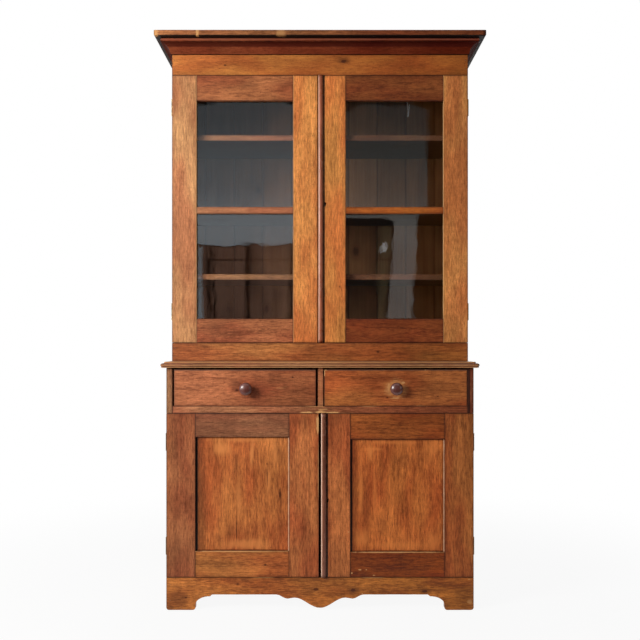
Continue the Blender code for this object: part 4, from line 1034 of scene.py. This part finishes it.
shelf_levels = [sum(corner.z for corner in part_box("upper_" + board)) / 2
                for board in ("floor", "shelf_low", "shelf_middle", "shelf_high")]
board_middles = [(number + 0.5) * back_pitch for number in range(-5, 5)]
back_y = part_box("upper_back")[1].y - planed
last_nail = 0.528
base_floor_level = sum(corner.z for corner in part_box("base_floor")) / 2
for level, heights in (("upper", [*shelf_levels, 2.108]), ("base", [base_floor_level, 0.66])):
    places = [(min(max(jog(x + off), -last_nail), last_nail), back_y, jog(z, 0.003)) for z in heights
              for x in board_middles for off in (-0.035, 0.035) if abs(x + off) < case_half]
    cut_nails(level + "_back_nails", places, (0, 1, 0), 0.0042, "case")
for side, hand in (("left", -1), ("right", 1)):
    places = [(hand * case_half, jog(y, 0.006), jog(z, 0.002))
              for z in shelf_levels for y in (-0.04, 0.09, 0.20)]
    places += [(hand * case_half, jog(y, 0.006), base_floor_level) for y in (-0.15, 0.02, 0.19)]
    cut_nails(f"side_nails_{side}", places, (hand, 0, 0), 0.0036, "case")
upper_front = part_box("frieze")[0].y
pairs = ((0.552, upper_front, (2.018, 2.048)), (0.550, upper_front, (0.925, 0.957)),
         (0.548, face_front, (0.036, 0.094)))
places = [(hand * x, y, z) for x, y, heights in pairs for hand in (-1, 1) for z in heights]
cut_nails("front_nails", [*places, (-0.471, face_front, 0.1134)], (0, -1, 0), 0.0024, "case")
cap_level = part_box("upper_top")[1].z - planed
places = [(hand * 0.552, jog(y), cap_level) for hand in (-1, 1) for y in (-0.05, 0.08, 0.21)]
places += [(jog(x), -0.086, cap_level) for x in (-0.42, -0.14, 0.14, 0.42)]
places += [(jog(x), face_front + 0.012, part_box("ledge")[1].z) for x in (-0.548, -0.27, 0.0, 0.27, 0.548)]
cut_nails("top_nails", places, (0, 0, 1), 0.0034, "case")
for level in ("upper", "lower"):
    low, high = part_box(level + "_right_door_bead")
    places = [((low.x + high.x) / 2, low.y + 0.0004, low.z + (high.z - low.z) * share)
              for share in (0.03, 0.27, 0.5, 0.74, 0.97)]
    cut_nails(level + "_bead_pins", places, (0, -1, 0), 0.0013, level + "_right_door")


# The studio: a plain pale floor, a white surround, soft lamps from the left and from behind and a weak one
# from the right. The flats behind and beside the camera show in the glass and the polish and nowhere else.

def plain_shape(name, outlines, finish):
    shape = bmesh.new()
    for outline in outlines:
        shape.faces.new([shape.verts.new(point) for point in outline])
    mesh = bpy.data.meshes.new(name)
    shape.to_mesh(mesh)
    shape.free()
    mesh.materials.append(finish)
    made = bpy.data.objects.new(name, mesh)
    bpy.context.scene.collection.objects.link(made)
    return made


def lit(name, strength):
    """A surface with its own even light, or one that a signal made from its place varies."""
    finish, shader, start = new_finish(name)
    colour = strength(start.position()) if callable(strength) else (strength,) * 3 + (1,)
    start.add("Emission", None, {"Color": colour, "Strength": 1.0}).to_surface()
    return finish


def watched(start):
    """1 for the camera's rays and for those that polish or glass sends on, 0 for the rest."""
    camera, glossy, sent_on = (start.add("LightPath", output=f"Is {kind} Ray")
                               for kind in ("Camera", "Glossy", "Transmission"))
    return camera.math("MAXIMUM", glossy).math("MAXIMUM", sent_on)


finish, shader, start = new_finish("white_floor")
wire(shader, Base_Color=(0.6, 0.6, 0.6, 1), Roughness=0.9, Specular_IOR_Level=0.0)
away = start.position().vector("MULTIPLY", (1.0, 1.0, 0.0)).vector("LENGTH")
glow = start.add("Emission", None, {"Color": (1, 1, 1, 1), "Strength": 1.0})
start.add("MixShader", None, {0: watched(start) * away.fade(0.8, 2.6, 0.92, 1.0),
                              1: Signal(start.tree, shader.outputs[0]), 2: glow}).to_surface()
wide = 40.0
corners = ((-wide, -wide, 0), (wide, -wide, 0), (wide, wide, 0), (-wide, wide, 0))
plain_shape("studio_floor", [corners], finish)

flat_y = -6.0
skyline = [(-1.6, 2.03), (-1.33, 2.05), (-1.0, 2.02), (-0.75, 2.06), (-0.5, 2.03), (-0.29, 2.06),
    (0.1, 2.30), (0.28, 2.33), (0.70, 2.33), (0.80, 2.29), (0.79, 2.09), (0.776, 1.77), (0.754, 1.66),
    (0.744, 1.47), (0.733, 1.34), (0.71, 1.2), (1.0, 1.2), (0.985, 1.35), (1.02, 1.45), (0.99, 1.55),
    (1.02, 1.7), (1.05, 1.8), (1.03, 1.9), (1.055, 2.05), (1.035, 2.15), (1.055, 2.36), (1.157, 2.46)]
ceiling = [(1.157, 3.50), (1.0, 3.55), (0.75, 3.53), (0.6, 3.56), (0.42, 3.55), (0.36, 3.50), (0.28, 3.47),
    (0.1, 3.50), (-0.29, 3.55), (-0.36, 3.56), (-0.43, 3.62), (-1.12, 3.62), (-1.125, 3.55), (-1.175, 3.55),
    (-1.18, 3.62), (-1.205, 3.62), (-1.21, 3.55), (-1.28, 3.54), (-1.6, 3.55)]
pale_corners = [skyline + ceiling, [(-1.32, 1.2), (-1.265, 1.2), (-1.265, 2.02), (-1.32, 2.02)]]
brown_corners = [[(-1.265, 1.2), (-0.29, 1.2)] + [(x, z - 0.01) for x, z in skyline[5:0:-1]],
                 [(0.63, 1.2), (0.70, 1.2), (0.725, 1.6), (0.765, 2.0), (0.775, 2.23), (0.64, 2.23)]]
glint_corners = [[(0.944, 3.42), (0.953, 3.42), (0.953, 3.58), (0.944, 3.58)],
                 [(0.665, 1.98), (0.695, 1.96), (0.725, 1.99), (0.72, 2.06), (0.69, 2.075), (0.66, 2.03)]]
dark_wall = [(-9.0, -0.5), (9.0, -0.5), (9.0, 7.0), (-9.0, 7.0)]


def upright(outlines, y):
    return [[(x, y, z) for x, z in corners] for corners in outlines]


def pale_sky(place):
    """Bright at the lower edge and dim at the top; to the right it is warmer, and dimmer higher up."""
    height, across = place.part(2), place.part(0)
    level = height.fade(2.25, 2.75, 1.0, 0.60) * height.fade(2.75, 3.5, 1.0, 0.55)
    level = level * height.fade(1.9, 2.15, 0.85, 1.0)
    right = height.fade(2.1, 2.5).between((0.88, 0.79, 0.74), (0.54, 0.55, 0.53))
    return level.between((0, 0, 0), across.fade(-0.3, 0.3).between((1.26, 1.36, 1.47), right))


def brown_wall(place):
    """Dim panelling with upright dark joints, and a duller post on the right."""
    across = place.part(0) + (place.clouds((1.0, 1.0, 6.0), 2.0) - 0.5) * 0.06
    level = place.clouds((9.0, 9.0, 1.5), 3.0).fade(0.25, 0.8, 0.5, 1.4)
    for joint, half in ((-1.20, 0.02), (-1.14, 0.012), (-0.78, 0.03), (-0.31, 0.02)):
        level = level * (across - joint).math("ABSOLUTE").fade(half * 0.4, half * 1.4, 0.12, 1.0)
    level = level * (place.part(2) - 1.88).math("ABSOLUTE").fade(0.004, 0.016, 0.3, 1.0)
    return level.between((0, 0, 0), across.fade(0.0, 0.5).between((0.60, 0.33, 0.24), (0.30, 0.24, 0.14)))


def dim_room(place):
    """What is left of the room: grey, and browner on the right."""
    return place.part(0).fade(0.9, 1.1).between((0.040, 0.034, 0.030), (0.13, 0.045, 0.01))


dark_room = upright([dark_wall], flat_y - 0.1) + [
    ((-9.0, flat_y, 0.01), (9.0, flat_y, 0.01), (9.0, -0.9, 0.01), (-9.0, -0.9, 0.01)),
    ((4.0, flat_y, -0.5), (4.0, 2.0, -0.5), (4.0, 2.0, 7.0), (4.0, flat_y, 7.0))]
for name, light, outlines in (("brown_flat", brown_wall, upright(brown_corners, flat_y)),
                              ("pale_flat", pale_sky, upright(pale_corners, flat_y)),
                              ("dark_flat", dim_room, dark_room),
                              ("glint_flat", 1.7, upright(glint_corners, flat_y + 0.01))):
    flat = plain_shape(name, outlines, lit(name + "_light", light))
    flat.visible_camera = False
    flat.visible_diffuse = False
    flat.visible_shadow = False

world = bpy.data.worlds.new("studio")
bpy.context.scene.world = world
world.use_nodes = True
sky = Signal(world.node_tree)
soft = sky.add("Background", None, {"Color": (0.97, 0.985, 1.0, 1), "Strength": 0.2})
plain = sky.add("Background", None, {"Color": (1, 1, 1, 1), "Strength": 1.0})
sky.add("MixShader", None, {0: watched(sky), 1: soft, 2: plain}).to_surface("World Output")


def lamp(name, place, aim, size, power, colour=(1, 1, 1)):
    light = bpy.data.lights.new(name, "AREA")
    light.shape = "SQUARE"
    light.size = size
    light.energy = power
    light.color = colour
    made = bpy.data.objects.new(name, light)
    made.location = place
    made.visible_camera = False
    made.rotation_euler = (Vector(aim) - Vector(place)).to_track_quat("-Z", "Y").to_euler()
    bpy.context.scene.collection.objects.link(made)


lamp("key_lamp", (-2.6, -2.2, 1.95), (0, 0, 1.2), 1.2, 130, (1.0, 0.985, 0.96))
lamp("fill_lamp", (3.4, -2.2, 1.8), (0, 0, 1.0), 2.0, 14)
lamp("back_lamp", (0.3, 4.6, 2.6), (0, 0, 1.0), 2.4, 100)

picture_width, focal_length, rise = 640, 848.5, 24
eye_level, distance = 0.972, 3.1
lens = bpy.data.cameras.new("photo_camera")
lens.sensor_width = 36
lens.lens = lens.sensor_width * focal_length / picture_width
lens.shift_y = rise / picture_width
camera = bpy.data.objects.new("photo_camera", lens)
camera.location = (0, face_front - distance, eye_level)
camera.rotation_euler = (math.pi / 2, 0, 0)
bpy.context.scene.collection.objects.link(camera)
bpy.context.scene.camera = camera
bpy.context.scene.view_settings.view_transform = "Standard"
